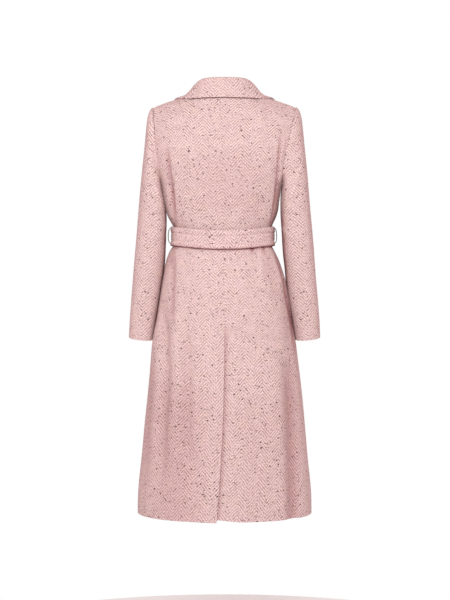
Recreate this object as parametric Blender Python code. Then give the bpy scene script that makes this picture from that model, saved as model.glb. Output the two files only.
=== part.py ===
"""Women's belted wrap coat in heavy wool: a standalone Blender 4.5 model in metres, +Z up.

The coat hangs filled out with nobody in it. Its front faces -Y, the wearer's left is +X, and the
origin is the middle of the neck at the height where the shoulder seams meet the collar.
"""
import math

import bmesh
import bpy
from mathutils import Vector
from mathutils.bvhtree import BVHTree

for old in list(bpy.data.objects):
    bpy.data.objects.remove(old, do_unlink=True)

# ---------------------------------------------------------------- driving sizes, in metres
WALL = 0.0026            # thickness of the wool
SEAM = 0.0008            # distance between two panels at a seam
HEM_Z = -1.120           # hem below the neck point
CHEST_Z = -0.165         # the body's rings end here and the yoke begins
UNDERARM_Z = -0.250
NECK_HALF = 0.079        # neck point from the middle
NECK_DEPTH = 0.062       # back neck seam behind the shoulder line
NECK_DROP = 0.008        # back neck seam below the neck point
SHOULDER_X = 0.1905      # shoulder point
SHOULDER_Z = -0.036
BELT_Z = -0.383          # middle of the belt at the side seams
BELT_DIP = 0.013         # how much lower the belt sits at the middle of the back
BELT_TALL = 0.049
BELT_WALL = 0.003
VENT_TOP = -0.6225
VENT_LAP = 0.045         # how far the under layer of the vent reaches
BREAK_X = 0.070          # where the lapel's roll line meets the front edge
BREAK_Z = -0.330
WRAP_OUT = 0.0048        # the outer front stands off the body's ring by this
WRAP_IN = 0.0038         # and the under front lies inside it by this

# Rings of the body: height, half width, depth of back and front, squareness, sideways shift.
RINGS = [
    dict(z=-1.1300, half=0.2328, back=0.172, front=0.160, square=2.10, shift=0.0000),
    dict(z=-1.0750, half=0.2316, back=0.168, front=0.157, square=2.10, shift=0.0000),
    dict(z=-0.9550, half=0.2200, back=0.159, front=0.151, square=2.12, shift=0.0000),
    dict(z=-0.8344, half=0.2080, back=0.151, front=0.146, square=2.15, shift=0.0000),
    dict(z=-0.7138, half=0.1959, back=0.143, front=0.140, square=2.20, shift=0.0003),
    dict(z=-0.6736, half=0.1922, back=0.140, front=0.138, square=2.20, shift=0.0005),
    dict(z=-0.6100, half=0.1815, back=0.136, front=0.134, square=2.22, shift=0.0010),
    dict(z=-0.5530, half=0.1715, back=0.130, front=0.130, square=2.25, shift=0.0020),
    dict(z=-0.4994, half=0.1622, back=0.122, front=0.124, square=2.25, shift=0.0035),
    dict(z=-0.4458, half=0.1498, back=0.111, front=0.116, square=2.25, shift=0.0055),
    dict(z=-0.4190, half=0.1407, back=0.103, front=0.110, square=2.25, shift=0.0065),
    dict(z=-0.4060, half=0.1342, back=0.098, front=0.106, square=2.25, shift=0.0065),
    dict(z=-0.3830, half=0.1336, back=0.097, front=0.105, square=2.25, shift=0.0065),
    dict(z=-0.3600, half=0.1342, back=0.098, front=0.106, square=2.25, shift=0.0065),
    dict(z=-0.3440, half=0.1436, back=0.102, front=0.110, square=2.30, shift=0.0065),
    dict(z=-0.3118, half=0.1490, back=0.106, front=0.117, square=2.40, shift=0.0058),
    dict(z=-0.2800, half=0.1540, back=0.109, front=0.122, square=2.55, shift=0.0060),
    dict(z=-0.2500, half=0.1600, back=0.111, front=0.126, square=2.70, shift=0.0065),
    dict(z=-0.2250, half=0.1690, back=0.112, front=0.127, square=2.80, shift=0.0055),
    dict(z=-0.1960, half=0.1795, back=0.112, front=0.126, square=2.90, shift=0.0045),
    dict(z=-0.1650, half=0.1880, back=0.111, front=0.124, square=3.00, shift=0.0035),
]

# Depth of each armhole behind and before the shoulder line; the right arm is held further back.
ARMHOLE = {
    1: dict(back=0.060, front=0.058),
    -1: dict(back=0.077, front=0.050),
}

# The skirt's main folds: a trough runs from one place to another down the cloth.
FOLDS = [
    dict(face=1, x0=0.160, z0=-0.50, x1=0.168, z1=-1.06, wide=0.016, deep=0.0060),
    dict(face=1, x0=0.098, z0=-0.62, x1=0.095, z1=-0.98, wide=0.014, deep=0.0040),
    dict(face=1, x0=-0.160, z0=-0.66, x1=-0.178, z1=-1.16, wide=0.020, deep=0.0075),
    dict(face=1, x0=-0.075, z0=-0.80, x1=-0.082, z1=-1.16, wide=0.022, deep=0.0030),
    dict(face=-1, x0=0.120, z0=-0.48, x1=0.150, z1=-1.10, wide=0.020, deep=0.0060),
    dict(face=-1, x0=-0.095, z0=-0.50, x1=-0.125, z1=-1.02, wide=0.018, deep=0.0050),
    dict(face=-1, x0=-0.155, z0=-0.60, x1=-0.180, z1=-1.16, wide=0.018, deep=0.0060),
]

SLEEVE_SQUARE = 2.1
# Sleeve rings from the shoulder down: the outer and inner edge, half depth and its middle, how
# far the inner edge is tucked in on the left and the right, and the fall towards the back.
SLEEVE = [
    dict(xo=0.198, zo=-0.0462, xi=0.1675, zi=-0.256, deep=0.061, mid=0.001, left=-0.0022, right=0.0105),
    dict(xo=0.2038, zo=-0.065, xi=0.1672, zi=-0.265, deep=0.063, mid=0.002, left=-0.0018, right=0.011),
    dict(xo=0.2072, zo=-0.098, xi=0.1662, zi=-0.279, deep=0.065, mid=0.002, left=-0.0008, right=0.011),
    dict(xo=0.2116, zo=-0.144, xi=0.164, zi=-0.3, deep=0.0655, mid=0.001, left=0.001, right=0.009),
    dict(xo=0.2168, zo=-0.195, xi=0.1618, zi=-0.326, deep=0.0645, mid=0.0, left=0.003, right=0.0085),
    dict(xo=0.2219, zo=-0.25, xi=0.1606, zi=-0.356, deep=0.063, mid=-0.002, left=0.003, right=0.006),
    dict(xo=0.227, zo=-0.308, xi=0.1603, zi=-0.39, deep=0.0615, mid=-0.005, left=0.001, right=0.003),
    dict(xo=0.2326, zo=-0.37, xi=0.1606, zi=-0.428, deep=0.06, mid=-0.009, left=0.0, right=0.001, tilt=0.01),
    dict(xo=0.2382, zo=-0.433, xi=0.164, zi=-0.468, deep=0.058, mid=-0.014, left=0.0, right=0.0, tilt=0.02),
    dict(xo=0.2436, zo=-0.495, xi=0.1705, zi=-0.513, deep=0.056, mid=-0.019, left=0.0, right=0.0, tilt=0.04),
    dict(xo=0.2488, zo=-0.554, xi=0.178, zi=-0.562, deep=0.054, mid=-0.024, left=0.0, right=0.0, tilt=0.07),
    dict(xo=0.2529, zo=-0.606, xi=0.185, zi=-0.61, deep=0.0525, mid=-0.029, left=-0.001, right=0.0, tilt=0.1),
    dict(xo=0.2557, zo=-0.6505, xi=0.1912, zi=-0.657, deep=0.051, mid=-0.033, left=-0.002, right=0.0, tilt=0.13),
]

coat = bpy.data.collections.new("wrap_coat")
bpy.context.scene.collection.children.link(coat)


def cloth(name, colour, roughness):
    mat = bpy.data.materials.new(name)
    mat.use_nodes = True
    shader = mat.node_tree.nodes["Principled BSDF"]
    shader.inputs["Base Color"].default_value = (*colour, 1.0)
    shader.inputs["Roughness"].default_value = roughness
    shader.inputs["Metallic"].default_value = 0.0
    return mat


wool = cloth("pink_wool", (0.745, 0.525, 0.510), 0.95)
wool_belt = cloth("pink_wool_belt", (0.790, 0.550, 0.535), 0.95)
thread = cloth("loop_thread", (0.600, 0.560, 0.500), 0.80)


# ---------------------------------------------------------------- the body's surface
def ring_at(z):
    """Sizes of the body's ring at a height, on a smooth curve through the table."""
    rows = RINGS
    if z <= rows[0]["z"]:
        return rows[0]
    if z >= rows[-1]["z"]:
        return rows[-1]
    i = max(k for k in range(len(rows) - 1) if rows[k]["z"] <= z)
    a, b = rows[i], rows[i + 1]
    before = rows[max(i - 1, 0)]
    after = rows[min(i + 2, len(rows) - 1)]
    span = b["z"] - a["z"]
    t = (z - a["z"]) / span
    out = {}
    for key in a:
        step = (b[key] - a[key]) / span
        m0 = 0.0
        m1 = 0.0
        if i > 0:
            left = (a[key] - before[key]) / (a["z"] - before["z"])
            m0 = 0.0 if left * step <= 0 else 2 * left * step / (left + step)
        else:
            m0 = step
        if i + 2 < len(rows):
            right = (after[key] - b[key]) / (after["z"] - b["z"])
            m1 = 0.0 if right * step <= 0 else 2 * right * step / (right + step)
        else:
            m1 = step
        out[key] = (
            (2 * t**3 - 3 * t**2 + 1) * a[key]
            + (t**3 - 2 * t**2 + t) * span * m0
            + (-2 * t**3 + 3 * t**2) * b[key]
            + (t**3 - t**2) * span * m1
        )
    return out


def soft(x, low, high):
    """A smooth step from 0 at low to 1 at high."""
    t = min(1.0, max(0.0, (x - low) / (high - low)))
    return t * t * (3 - 2 * t)


def fold_depth(face, x, z):
    """How far the skirt's folds push the cloth in at a place."""
    depth = 0.0
    for fold in FOLDS:
        if fold["face"] != face:
            continue
        run = (z - fold["z0"]) / (fold["z1"] - fold["z0"])
        middle = fold["x0"] + (fold["x1"] - fold["x0"]) * min(1.2, max(-0.2, run))
        along = soft(run, -0.12, 0.22) * (1 - soft(run, 0.85, 1.15))
        across = (x - middle) / fold["wide"]
        depth += fold["deep"] * along * (math.exp(-across**2) - 0.35 * math.exp(-(across / 2.2)**2))
    return depth


def body_point(side, face, z, angle, out=0.0):
    """A point of the body's ring: angle 0 is the middle, 90 degrees the side seam."""
    dip = BELT_DIP if face > 0 else 0.5 * BELT_DIP
    near = math.exp(-((z - BELT_Z) / 0.075)**2)
    size = ring_at(z + dip * near * math.cos(angle)**2)
    power = 2.0 / size["square"]
    sx = math.copysign(abs(math.sin(angle))**power, math.sin(angle))
    cy = abs(math.cos(angle))**power
    depth = size["back"] if face > 0 else size["front"]
    x = side * size["half"] * sx
    y = face * depth * cy
    push = out - fold_depth(face, x, z)
    nx, ny = x / size["half"]**2, y / depth**2
    long = math.hypot(nx, ny) or 1.0
    return Vector((x + size["shift"] + push * nx / long, y + push * ny / long, z))


def angle_for_x(side, face, z, x):
    """The ring angle on one side at which the ring passes a sideways place."""
    size = ring_at(z)
    ratio = side * (x - size["shift"]) / size["half"]
    root = min(1.0, abs(ratio))**(size["square"] / 2.0)
    return math.copysign(math.asin(root), ratio)


def armhole_angle(side, face, z):
    """The side seam below the underarm, and the armhole's edge above it."""
    if z <= UNDERARM_Z:
        return math.pi / 2
    name = "back" if face > 0 else "front"
    size = ring_at(z)
    rise = (z - CHEST_Z) / (CHEST_Z - UNDERARM_Z)
    y = ARMHOLE[side][name] * math.sqrt(max(0.0, 1 - rise**2))
    return math.acos((y / size[name])**(size["square"] / 2.0))


def resample(points, count, shares=None):
    """Points at even steps, or at given shares, along a line of points."""
    total = [0.0]
    for a, b in zip(points, points[1:]):
        total.append(total[-1] + (b - a).length)
    result = []
    for k in range(count + 1):
        want = total[-1] * (shares[k] if shares else k / count)
        i = 0
        while i < len(points) - 2 and total[i + 1] < want:
            i += 1
        part = (want - total[i]) / max(1e-12, total[i + 1] - total[i])
        result.append(points[i].lerp(points[i + 1], min(1.0, max(0.0, part))))
    return result


def inset_ends(points, first, last):
    """The same line of points, shortened a little at its two ends for the seams."""
    line = list(points)
    total = sum((b - a).length for a, b in zip(line, line[1:]))
    shares = [(first + (total - first - last) * k / (len(line) - 1)) / total for k in range(len(line))]
    return resample(line, len(line) - 1, shares)


# ---------------------------------------------------------------- solids from grids of points
def step_mean(values, i, last, closed):
    """The mean of the two faces beside a point, carried on straight past a free edge."""
    if closed:
        return values[(i - 1) % last] + values[i % last]
    if last == 1:
        return values[0] * 2
    if i == 0:
        return values[0] * 3 - values[1]
    if i == last:
        return values[last - 1] * 3 - values[last - 2]
    return values[i - 1] + values[i]


def grid_normals(rows, flip, closed):
    """Outward directions at every point of a grid, true to the surface at its edges too."""
    wide = len(rows[0])
    across = wide if closed else wide - 1
    faces = []
    for lower, upper in zip(rows, rows[1:]):
        line = []
        for i in range(across):
            j = (i + 1) % wide
            turn = (upper[j] - lower[i]).cross(upper[i] - lower[j])
            line.append((-turn if flip else turn).normalized())
        faces.append(line)
    normals = []
    for r in range(len(rows)):
        blend = [step_mean([line[i] for line in faces], r, len(faces), False) for i in range(across)]
        normals.append([step_mean(blend, i, across, closed).normalized() for i in range(wide)])
    return normals


def wall(name, rows, material, thickness=WALL, flip=False, closed=False, normals=None):
    """A cloth piece: a grid of points on its outer face, a second one inside it, and the rims."""
    wide = len(rows[0])
    normals = normals or grid_normals(rows, flip, closed)
    bm = bmesh.new()
    outer = [[bm.verts.new(p) for p in row] for row in rows]
    inner = [[bm.verts.new(p - n * thickness) for p, n in zip(row, line)]
             for row, line in zip(rows, normals)]

    def quad(a, b, c, d):
        bm.faces.new([d, c, b, a] if flip else [a, b, c, d])

    across = wide if closed else wide - 1
    for r in range(len(rows) - 1):
        for i in range(across):
            j = (i + 1) % wide
            quad(outer[r][i], outer[r][j], outer[r + 1][j], outer[r + 1][i])
            quad(inner[r][i], inner[r + 1][i], inner[r + 1][j], inner[r][j])
        if not closed:
            quad(outer[r][0], outer[r + 1][0], inner[r + 1][0], inner[r][0])
            quad(outer[r + 1][-1], outer[r][-1], inner[r][-1], inner[r + 1][-1])
    for i in range(across):
        j = (i + 1) % wide
        quad(outer[0][j], outer[0][i], inner[0][i], inner[0][j])
        quad(outer[-1][i], outer[-1][j], inner[-1][j], inner[-1][i])
    mesh = bpy.data.meshes.new(name)
    bm.to_mesh(mesh)
    bm.free()
    mesh.shade_smooth()
    mesh.set_sharp_from_angle(angle=math.radians(50))
    piece = bpy.data.objects.new(name, mesh)
    coat.objects.link(piece)
    piece.data.materials.append(material)
    return piece


def surface(rows_list):
    """A tree of the outer faces of several grids, to lay other cloth on."""
    verts, faces = [], []
    for rows, flip in rows_list:
        base = len(verts)
        wide = len(rows[0])
        for row in rows:
            verts.extend(row)
        for r in range(len(rows) - 1):
            for i in range(wide - 1):
                a = base + r * wide + i
                quad = [a, a + 1, a + 1 + wide, a + wide]
                faces.append(quad[::-1] if flip else quad)
    return BVHTree.FromPolygons(verts, faces)


def seat(tree, point, lift):
    """The point, moved out where it would be closer to the cloth than the lift."""
    hit, normal, _, _ = tree.find_nearest(point)
    gap = (point - hit).dot(normal)
    return point + normal * (lift - gap) if gap < lift else point


# ---------------------------------------------------------------- back and front panels
def low_levels():
    """Heights of the rows from the hem to the chest, closer where the shape turns."""
    levels = [HEM_Z, -1.085, -1.04, -0.99, -0.94, -0.89, -0.84, -0.79, -0.74, -0.69, -0.655]
    levels += [-0.637, VENT_TOP - 0.001, -0.608, -0.580, -0.545, -0.510, -0.475, -0.448, -0.430]
    levels += [-0.418, -0.406, -0.383, -0.361, -0.350, -0.338, -0.318, -0.295, -0.272]
    levels += [UNDERARM_Z, -0.2465, -0.2385, -0.2240, -0.2000, CHEST_Z]
    return levels


YOKE_ROWS = 8


def back_middle_x(z):
    """The seam down the middle of the back, and the vent's edge below it."""
    if z > VENT_TOP:
        return 0.0105 * soft(z, VENT_TOP, -0.10)
    down = (VENT_TOP - z) / (VENT_TOP - HEM_Z)
    return 0.002 + 0.0145 * down**1.6


def neck_point(x):
    y = NECK_DEPTH * math.sqrt(max(0.0, 1 - (x / NECK_HALF)**2))
    return Vector((x, y, -NECK_DROP + NECK_DROP * (x / NECK_HALF)**2))


def shoulder_line(neck_end, tip, count):
    """The shoulder seam, a little raised towards the tip by the cloth's own stiffness."""
    line = []
    for k in range(count + 1):
        share = k / count
        point = neck_end.lerp(tip, share)
        point.z += 0.0034 * math.sin(math.pi * share**2.2)
        line.append(point)
    return line


def yoke(chest_row, top_row, roundness):
    """Rows from the chest up to the neck and shoulder seam, round like a quarter of an oval."""
    rows = []
    for step in range(1, YOKE_ROWS + 1):
        turn = math.radians(90.0 * step / YOKE_ROWS)
        s, c = math.sin(turn), math.cos(turn)
        row = []
        for low, top, q in zip(chest_row, top_row, roundness):
            forward = q * c + (1 - q) * (1 - s)
            row.append(Vector((
                low.x + (top.x - low.x) * s,
                top.y + (low.y - top.y) * forward,
                low.z + (top.z - low.z) * s,
            )))
        rows.append(row)
    return rows


def back_panel(side):
    """Rows of one half of the back, from the middle seam or vent edge to the side."""
    columns = 12
    rows = []
    for z in low_levels():
        middle = back_middle_x(z)
        under = 0.0
        if z <= VENT_TOP - 0.001 and side < 0:
            start = middle + VENT_LAP * soft(VENT_TOP - z, 0.0, 0.030) + 0.004
        else:
            start = middle + side * 0.5 * SEAM if z > VENT_TOP else middle
        end = armhole_angle(side, 1, z)
        begin = angle_for_x(side, 1, z, start)
        line = []
        for k in range(97):
            angle = begin + (end - begin) * k / 96
            if side < 0:
                x = body_point(side, 1, z, angle).x
                open_now = soft(VENT_TOP - z, -0.040, 0.0)
                under = -0.0040 * open_now * soft(x, -0.050, -0.004)
            line.append(body_point(side, 1, z, angle, under))
        line = inset_ends(line, 0.0, 0.5 * SEAM)
        rows.append(resample(line, columns))
    # the top edge: half of the neck and one shoulder
    start = back_middle_x(0.0) + side * 0.5 * SEAM
    first = math.asin(min(1.0, side * start / NECK_HALF)) if side * start > 0 else \
        -math.asin(min(1.0, -side * start / NECK_HALF))
    neck = [neck_point(side * NECK_HALF * math.sin(first + (math.pi / 2 - first) * k / 40))
            for k in range(41)]
    neck = resample(neck, 6)
    neck_end = Vector((side * NECK_HALF, 0.5 * SEAM, 0.0))
    tip = Vector((side * SHOULDER_X, 0.5 * SEAM, SHOULDER_Z))
    neck[-1] = neck_end
    top = neck + shoulder_line(neck_end, tip, 6)[1:]
    roundness = [0.50, 0.50, 0.52, 0.56, 0.64, 0.78, 0.90] + [1.0] * 6
    rows += yoke(rows[-1], top, roundness)
    return rows


def front_edge_x(side, z):
    """The free edge of a front: the roll line above the break, a straight edge below."""
    if z >= BREAK_Z:
        return side * (NECK_HALF - (NECK_HALF + BREAK_X) * z / BREAK_Z)
    return -side * (BREAK_X + 0.035 * soft(BREAK_Z - z, 0.0, 0.80))


def wrap_offset(side, x):
    """The outer front stands off the ring and the under front lies inside it."""
    share = soft(-side * x, -0.135, -0.075)
    return (WRAP_OUT if side < 0 else -WRAP_IN) * share


def front_panel(side):
    """Rows of one front, from its free edge to the side seam or armhole."""
    columns = 14
    rows = []
    for z in low_levels():
        begin = angle_for_x(side, -1, z, front_edge_x(side, z))
        end = armhole_angle(side, -1, z)
        line = []
        for k in range(97):
            angle = begin + (end - begin) * k / 96
            x = body_point(side, -1, z, angle).x
            line.append(body_point(side, -1, z, angle, wrap_offset(side, x)))
        line = inset_ends(line, 0.0, 0.5 * SEAM)
        rows.append(resample(line, columns))
    neck_end = Vector((side * (NECK_HALF + 0.001), -0.5 * SEAM, 0.0))
    tip = Vector((side * SHOULDER_X, -0.5 * SEAM, SHOULDER_Z))
    top = shoulder_line(neck_end, tip, columns)
    roundness = [0.55 + 0.45 * soft(k, 0, 7) for k in range(columns + 1)]
    rows += yoke(rows[-1], top, roundness)
    return rows


back_rows = {side: back_panel(side) for side in (1, -1)}
front_rows = {side: front_panel(side) for side in (1, -1)}

# On the left (+X) a back row runs outwards from the middle, seen from behind to the left.
wall("back_left", back_rows[1], wool, flip=True)
wall("back_right", back_rows[-1], wool, flip=False)
wall("front_left", front_rows[1], wool, flip=False)
wall("front_right", front_rows[-1], wool, flip=True)

back_skin = surface([(back_rows[1], True), (back_rows[-1], False)])
left_skin = surface([(front_rows[1], False)])
right_skin = surface([(front_rows[-1], True)])
body_skin = surface([
    (back_rows[1], True), (back_rows[-1], False),
    (front_rows[1], False), (front_rows[-1], True),
])


# ---------------------------------------------------------------- sleeves
def armhole_line(side, face):
    """The armhole's edge from the shoulder point down to the underarm on one face."""
    rows = back_rows[side] if face > 0 else front_rows[side]
    start = low_levels().index(UNDERARM_Z)
    edge = [row[-1] for row in rows[start:]]
    line = []
    for p in reversed(edge):
        low = 1 - soft(p.z, UNDERARM_Z, UNDERARM_Z + 0.045)
        line.append(p + Vector((side * (0.0013 + 0.0022 * low), 0, 0.0008 * low)))
    return line


def sleeve_rings(side):
    """Closed rings of points down a sleeve, from the armhole to the cuff."""
    back, front = armhole_line(side, 1), armhole_line(side, -1)
    middle = (back[-1] + front[-1]) / 2
    crown = (back[0] + front[0]) / 2
    first = [crown] + back[1:-1] + [middle] + front[-2:0:-1]
    half = len(back) - 1
    turns = []
    for line in (back, front):
        total = [0.0]
        for a, b in zip(line, line[1:]):
            total.append(total[-1] + (b - a).length)
        turns.append([math.pi * t / total[-1] for t in total])
    angles = turns[0][:-1] + [math.pi] + [2 * math.pi - t for t in turns[1][-2:0:-1]]
    # the armhole's own shape: share of the way up, share of the depth, and what stands out
    centre, reach = (crown + middle) / 2, (crown - middle) / 2
    deepest = max(abs(p.y) for p in first)
    shape = []
    for p in first:
        up = (p - centre).dot(reach) / reach.length_squared
        shape.append((up, p.y / deepest, p.x - centre.x - reach.x * up))
    lean = 0.008 if side < 0 else 0.0
    rings = [first]
    for number, row in enumerate(SLEEVE):
        power = 2.0 / SLEEVE_SQUARE
        inside = row["xi"] - row["left" if side > 0 else "right"]
        centre = Vector((side * (row["xo"] + inside) / 2, 0, (row["zo"] + row["zi"]) / 2))
        reach = Vector((side * (row["xo"] - inside) / 2, 0, (row["zo"] - row["zi"]) / 2))
        fade = lean * (1 - soft(number, 3, 13))
        turned = soft(number, -0.5, 5.0)
        ring = []
        for turn, (up, depth, stand) in zip(angles, shape):
            c, s = math.cos(turn), math.sin(turn)
            c = up + (math.copysign(abs(c)**power, c) - up) * turned
            s = depth + (math.copysign(abs(s)**power, s) - depth) * turned
            point = centre + reach * c
            point.x += (stand + side * 0.0050 * abs(depth)) * (1 - turned)
            deep = deepest + (row["deep"] - deepest) * soft(number, -1.0, 4.0)
            point.y = (row["mid"] + fade) * turned + deep * s
            point.z -= row.get("tilt", 0.0) * deep * s
            ring.append(point)
        rings.append(ring)
    return rings


def sleeve_part(rings, normals, first, last):
    """The rows of one part of a sleeve between two of its seams, with their outward directions."""
    around = len(rings[0])
    rows, sides = [], []
    for ring, line in zip(rings, normals):
        row = [ring[k % around].copy() for k in range(first, last + 1)]
        row[0] += (row[1] - row[0]).normalized() * 0.9 * SEAM
        row[-1] += (row[-2] - row[-1]).normalized() * 0.9 * SEAM
        rows.append(row)
        sides.append([line[k % around] for k in range(first, last + 1)])
    return rows, sides


for side, word in ((1, "left"), (-1, "right")):
    rings = sleeve_rings(side)
    normals = grid_normals(rings, side < 0, True)
    half = len(rings[0]) // 2
    # the seams run low down the back and the front of the arm
    under, under_normals = sleeve_part(rings, normals, half - 3, half + 3)
    upper, upper_normals = sleeve_part(rings, normals, half + 3, 3 * half - 3)
    wall(f"sleeve_{word}_under", under, wool, flip=side < 0, normals=under_normals)
    wall(f"sleeve_{word}_upper", upper, wool, flip=side < 0, normals=upper_normals)


# ---------------------------------------------------------------- collar and lapels
# One side of the collar from the middle of the back to the gorge seam in front. Each row has
# the seam at the neck, the top of the roll and the outer edge, and the left half is mirrored.
COLLAR = [
    dict(nx=0.0000, ny=0.0595, nz=-0.0070, rx=0.0000, ry=0.0640, rz=0.0330, ex=0.0000, ey=0.0830, ez=-0.0215),
    dict(nx=0.0290, ny=0.0555, nz=-0.0060, rx=0.0285, ry=0.0605, rz=0.0330, ex=0.0420, ey=0.0790, ez=-0.0215),
    dict(nx=0.0540, ny=0.0430, nz=-0.0035, rx=0.0530, ry=0.0480, rz=0.0322, ex=0.0850, ey=0.0600, ez=-0.0205),
    dict(nx=0.0710, ny=0.0240, nz=0.0000, rx=0.0670, ry=0.0260, rz=0.0265, ex=0.1200, ey=0.0330, ez=-0.0175),
    dict(nx=0.0785, ny=0.0000, nz=0.0022, rx=0.0725, ry=0.0010, rz=0.0185, ex=0.1425, ey=0.0000, ez=-0.0150),
]
COLLAR_ENDS = [
    dict(down=0.018, rise=0.0130, ex=0.1500, ey=-0.036, ez=-0.0270),
    dict(down=0.044, rise=0.0100, ex=0.1450, ey=-0.068, ez=-0.0450),
    dict(down=0.072, rise=0.0085, ex=0.1180, ey=-0.098, ez=-0.0660),
]
GORGE_DOWN = 0.072
GORGE_LONG = 0.046
SLANT = Vector((0.911, 0.0, -0.411))     # square to the roll line, seen from the front


def roll_line(side, down):
    """The place on a front's roll line at a distance below the neck point."""
    edge = [row[0] for row in front_rows[side]]
    for a, b in zip(edge, edge[1:]):
        if a.z <= -down <= b.z:
            return a.lerp(b, (-down - a.z) / (b.z - a.z))
    return edge[-1]


def smooth_line(points, count):
    """A smooth curve through points, at even steps of the row number."""
    result = []
    last = len(points) - 1
    for k in range(count + 1):
        where = last * k / count
        i = min(int(where), last - 1)
        t = where - i
        p0, p1 = points[max(i - 1, 0)], points[i]
        p2, p3 = points[i + 1], points[min(i + 2, last)]
        result.append(0.5 * (
            2 * p1 + (p2 - p0) * t + (2 * p0 - 5 * p1 + 4 * p2 - p3) * t**2
            + (3 * p1 - p0 - 3 * p2 + p3) * t**3
        ))
    return result


def beside(side, down):
    """Direction from the roll line out over the front's cloth, and the way off the cloth."""
    rows = front_rows[side]
    i = min(range(len(rows)), key=lambda k: abs(rows[k][0].z + down))
    out = (rows[i][1] - rows[i][0]).normalized()
    along = (rows[min(i + 1, len(rows) - 1)][0] - rows[i - 1][0]).normalized()
    off = along.cross(out) * (-side)
    return out, off.normalized()


def collar_side(side):
    """Stations of one half of the collar: neck seam, roll, outer edge and the way outwards."""
    necks, rolls, edges, outs = [], [], [], []
    for row in COLLAR:
        necks.append(Vector((side * row["nx"], row["ny"], row["nz"])))
        rolls.append(Vector((side * row["rx"], row["ry"], row["rz"])))
        edges.append(Vector((side * row["ex"], row["ey"], row["ez"])))
        flat = edges[-1] - rolls[-1]
        outs.append(Vector((flat.x, flat.y, 0.0)).normalized())
    for row in COLLAR_ENDS:
        at = roll_line(side, row["down"])
        out, off = beside(side, row["down"])
        necks.append(at + off * 0.0016)
        rolls.append(at + off * row["rise"] + out * 0.0015)
        edges.append(Vector((side * row["ex"], row["ey"], row["ez"])))
        outs.append(out)
    return [smooth_line(line, 14) for line in (necks, rolls, edges, outs)]


def collar_section(neck, roll, edge, out, notch, bend, hollow, lift):
    """Points across the collar: up the stand, over the roll and down the fall."""
    out = out.normalized()
    up = roll - neck
    drop = up.normalized() * min(0.0055, 0.28 * up.length)
    start = roll + out * 0.0110 - drop
    line = [neck, neck + up * 0.42, neck + up * 0.78, neck + up * 0.95 + out * 0.0007]
    line += [roll + out * 0.0038, start]
    for share in (0.28, 0.55, 0.80, 1.0):
        point = start.lerp(edge, share)
        if share < 0.6:
            turned = start.lerp(notch, share / 0.55)
        else:
            turned = notch.lerp(edge, (share - 0.55) / 0.45)
        point = point.lerp(turned, bend)
        point.z -= hollow * math.sin(math.pi * share**0.9)
        line.append(point)
    placed = []
    for i, p in enumerate(line):
        if i < 5:
            heel = p + out * WALL
            placed.append(p + seat(body_skin, heel, 0.0016) - heel)
        else:
            placed.append(seat(body_skin, p, lift))
    return placed


halves = {side: collar_side(side) for side in (1, -1)}
stations = {1: [], -1: []}
for side in (1, -1):
    notch = roll_line(side, GORGE_DOWN) + Vector((side * SLANT.x, 0, SLANT.z)) * GORGE_LONG
    count = len(halves[side][0])
    for i in range(count):
        bend = soft(i, count - 4, count - 1)
        hollow = 0.0052 * soft(i, 2, 8)
        lift = 0.0045 + 0.0014 * soft(i, 8, 11)
        stations[side].append(collar_section(*[line[i] for line in halves[side]], notch, bend, hollow, lift))
collar_rows = stations[1][::-1] + stations[-1][1:]
wall("collar", collar_rows, wool, flip=False)


def lapel_rows(side):
    """One lapel: from the roll line out over its front, lying on the cloth."""
    skin = left_skin if side > 0 else right_skin
    slant = Vector((side * SLANT.x, 0, SLANT.z))
    start = GORGE_DOWN + 0.0035
    steps, across = 14, 7
    rows = []
    for i in range(steps + 1):
        run = i / steps
        down = start + (-BREAK_Z - 0.0005 - start) * run
        at = roll_line(side, down)
        width = 0.088 * (1 - run)**0.60 + 0.005
        row = []
        for k in range(across + 1):
            flat = at + slant * width * k / across
            hit, normal, _, _ = skin.ray_cast(Vector((flat.x, -1.0, flat.z)), Vector((0, 1, 0)))
            if hit is None:
                hit, normal, _, _ = skin.find_nearest(Vector((flat.x, at.y, flat.z)))
            row.append(hit + normal * 0.0047)
        rows.append(row)
    return rows


wall("lapel_left", lapel_rows(1), wool, flip=True)
wall("lapel_right", lapel_rows(-1), wool, flip=False)


# ---------------------------------------------------------------- belt
def belt_rows():
    """Rows of the band round the waist, on the cloth of all four panels."""
    rows = []
    turns = 44
    for level in range(5):
        row = []
        for k in range(turns):
            turn = 2 * math.pi * k / turns
            side = 1 if math.sin(turn) >= 0 else -1
            face = 1 if math.cos(turn) >= 0 else -1
            angle = math.acos(min(1.0, abs(math.cos(turn))))
            dip = (BELT_DIP if face > 0 else 0.5 * BELT_DIP) * math.cos(turn)**2
            z = BELT_Z - dip + BELT_TALL * (0.5 - level / 4)
            base = body_point(side, face, BELT_Z - dip, angle)
            point = body_point(side, face, z, angle)
            stand = BELT_WALL + 0.0021
            if face < 0:
                stand += WRAP_OUT * soft(-abs(base.x), -0.135, -0.085)
            out = Vector((base.x / 0.137**2, base.y / 0.101**2, 0)).normalized()
            flat = Vector((base.x, base.y, z))
            high = max((point - flat).dot(out), 0.0)
            row.append(flat + out * (stand + high))
        rows.append(row)
    return rows


wall("belt", belt_rows(), wool_belt, thickness=BELT_WALL, flip=False, closed=True)


def front_place(x, z, lift):
    """A place on the outermost front cloth, lifted off it."""
    best = None
    for skin in (left_skin, right_skin):
        hit, normal, _, _ = skin.ray_cast(Vector((x, -1.0, z)), Vector((0, 1, 0)))
        if hit is not None and (best is None or hit.y < best[0].y):
            best = (hit, normal)
    return best[0] + best[1] * lift


KNOT_X, KNOT_Z = 0.012, BELT_Z - 0.5 * BELT_DIP
belt_front = front_place(KNOT_X, KNOT_Z, 0).y - 0.0045 - BELT_WALL


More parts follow.
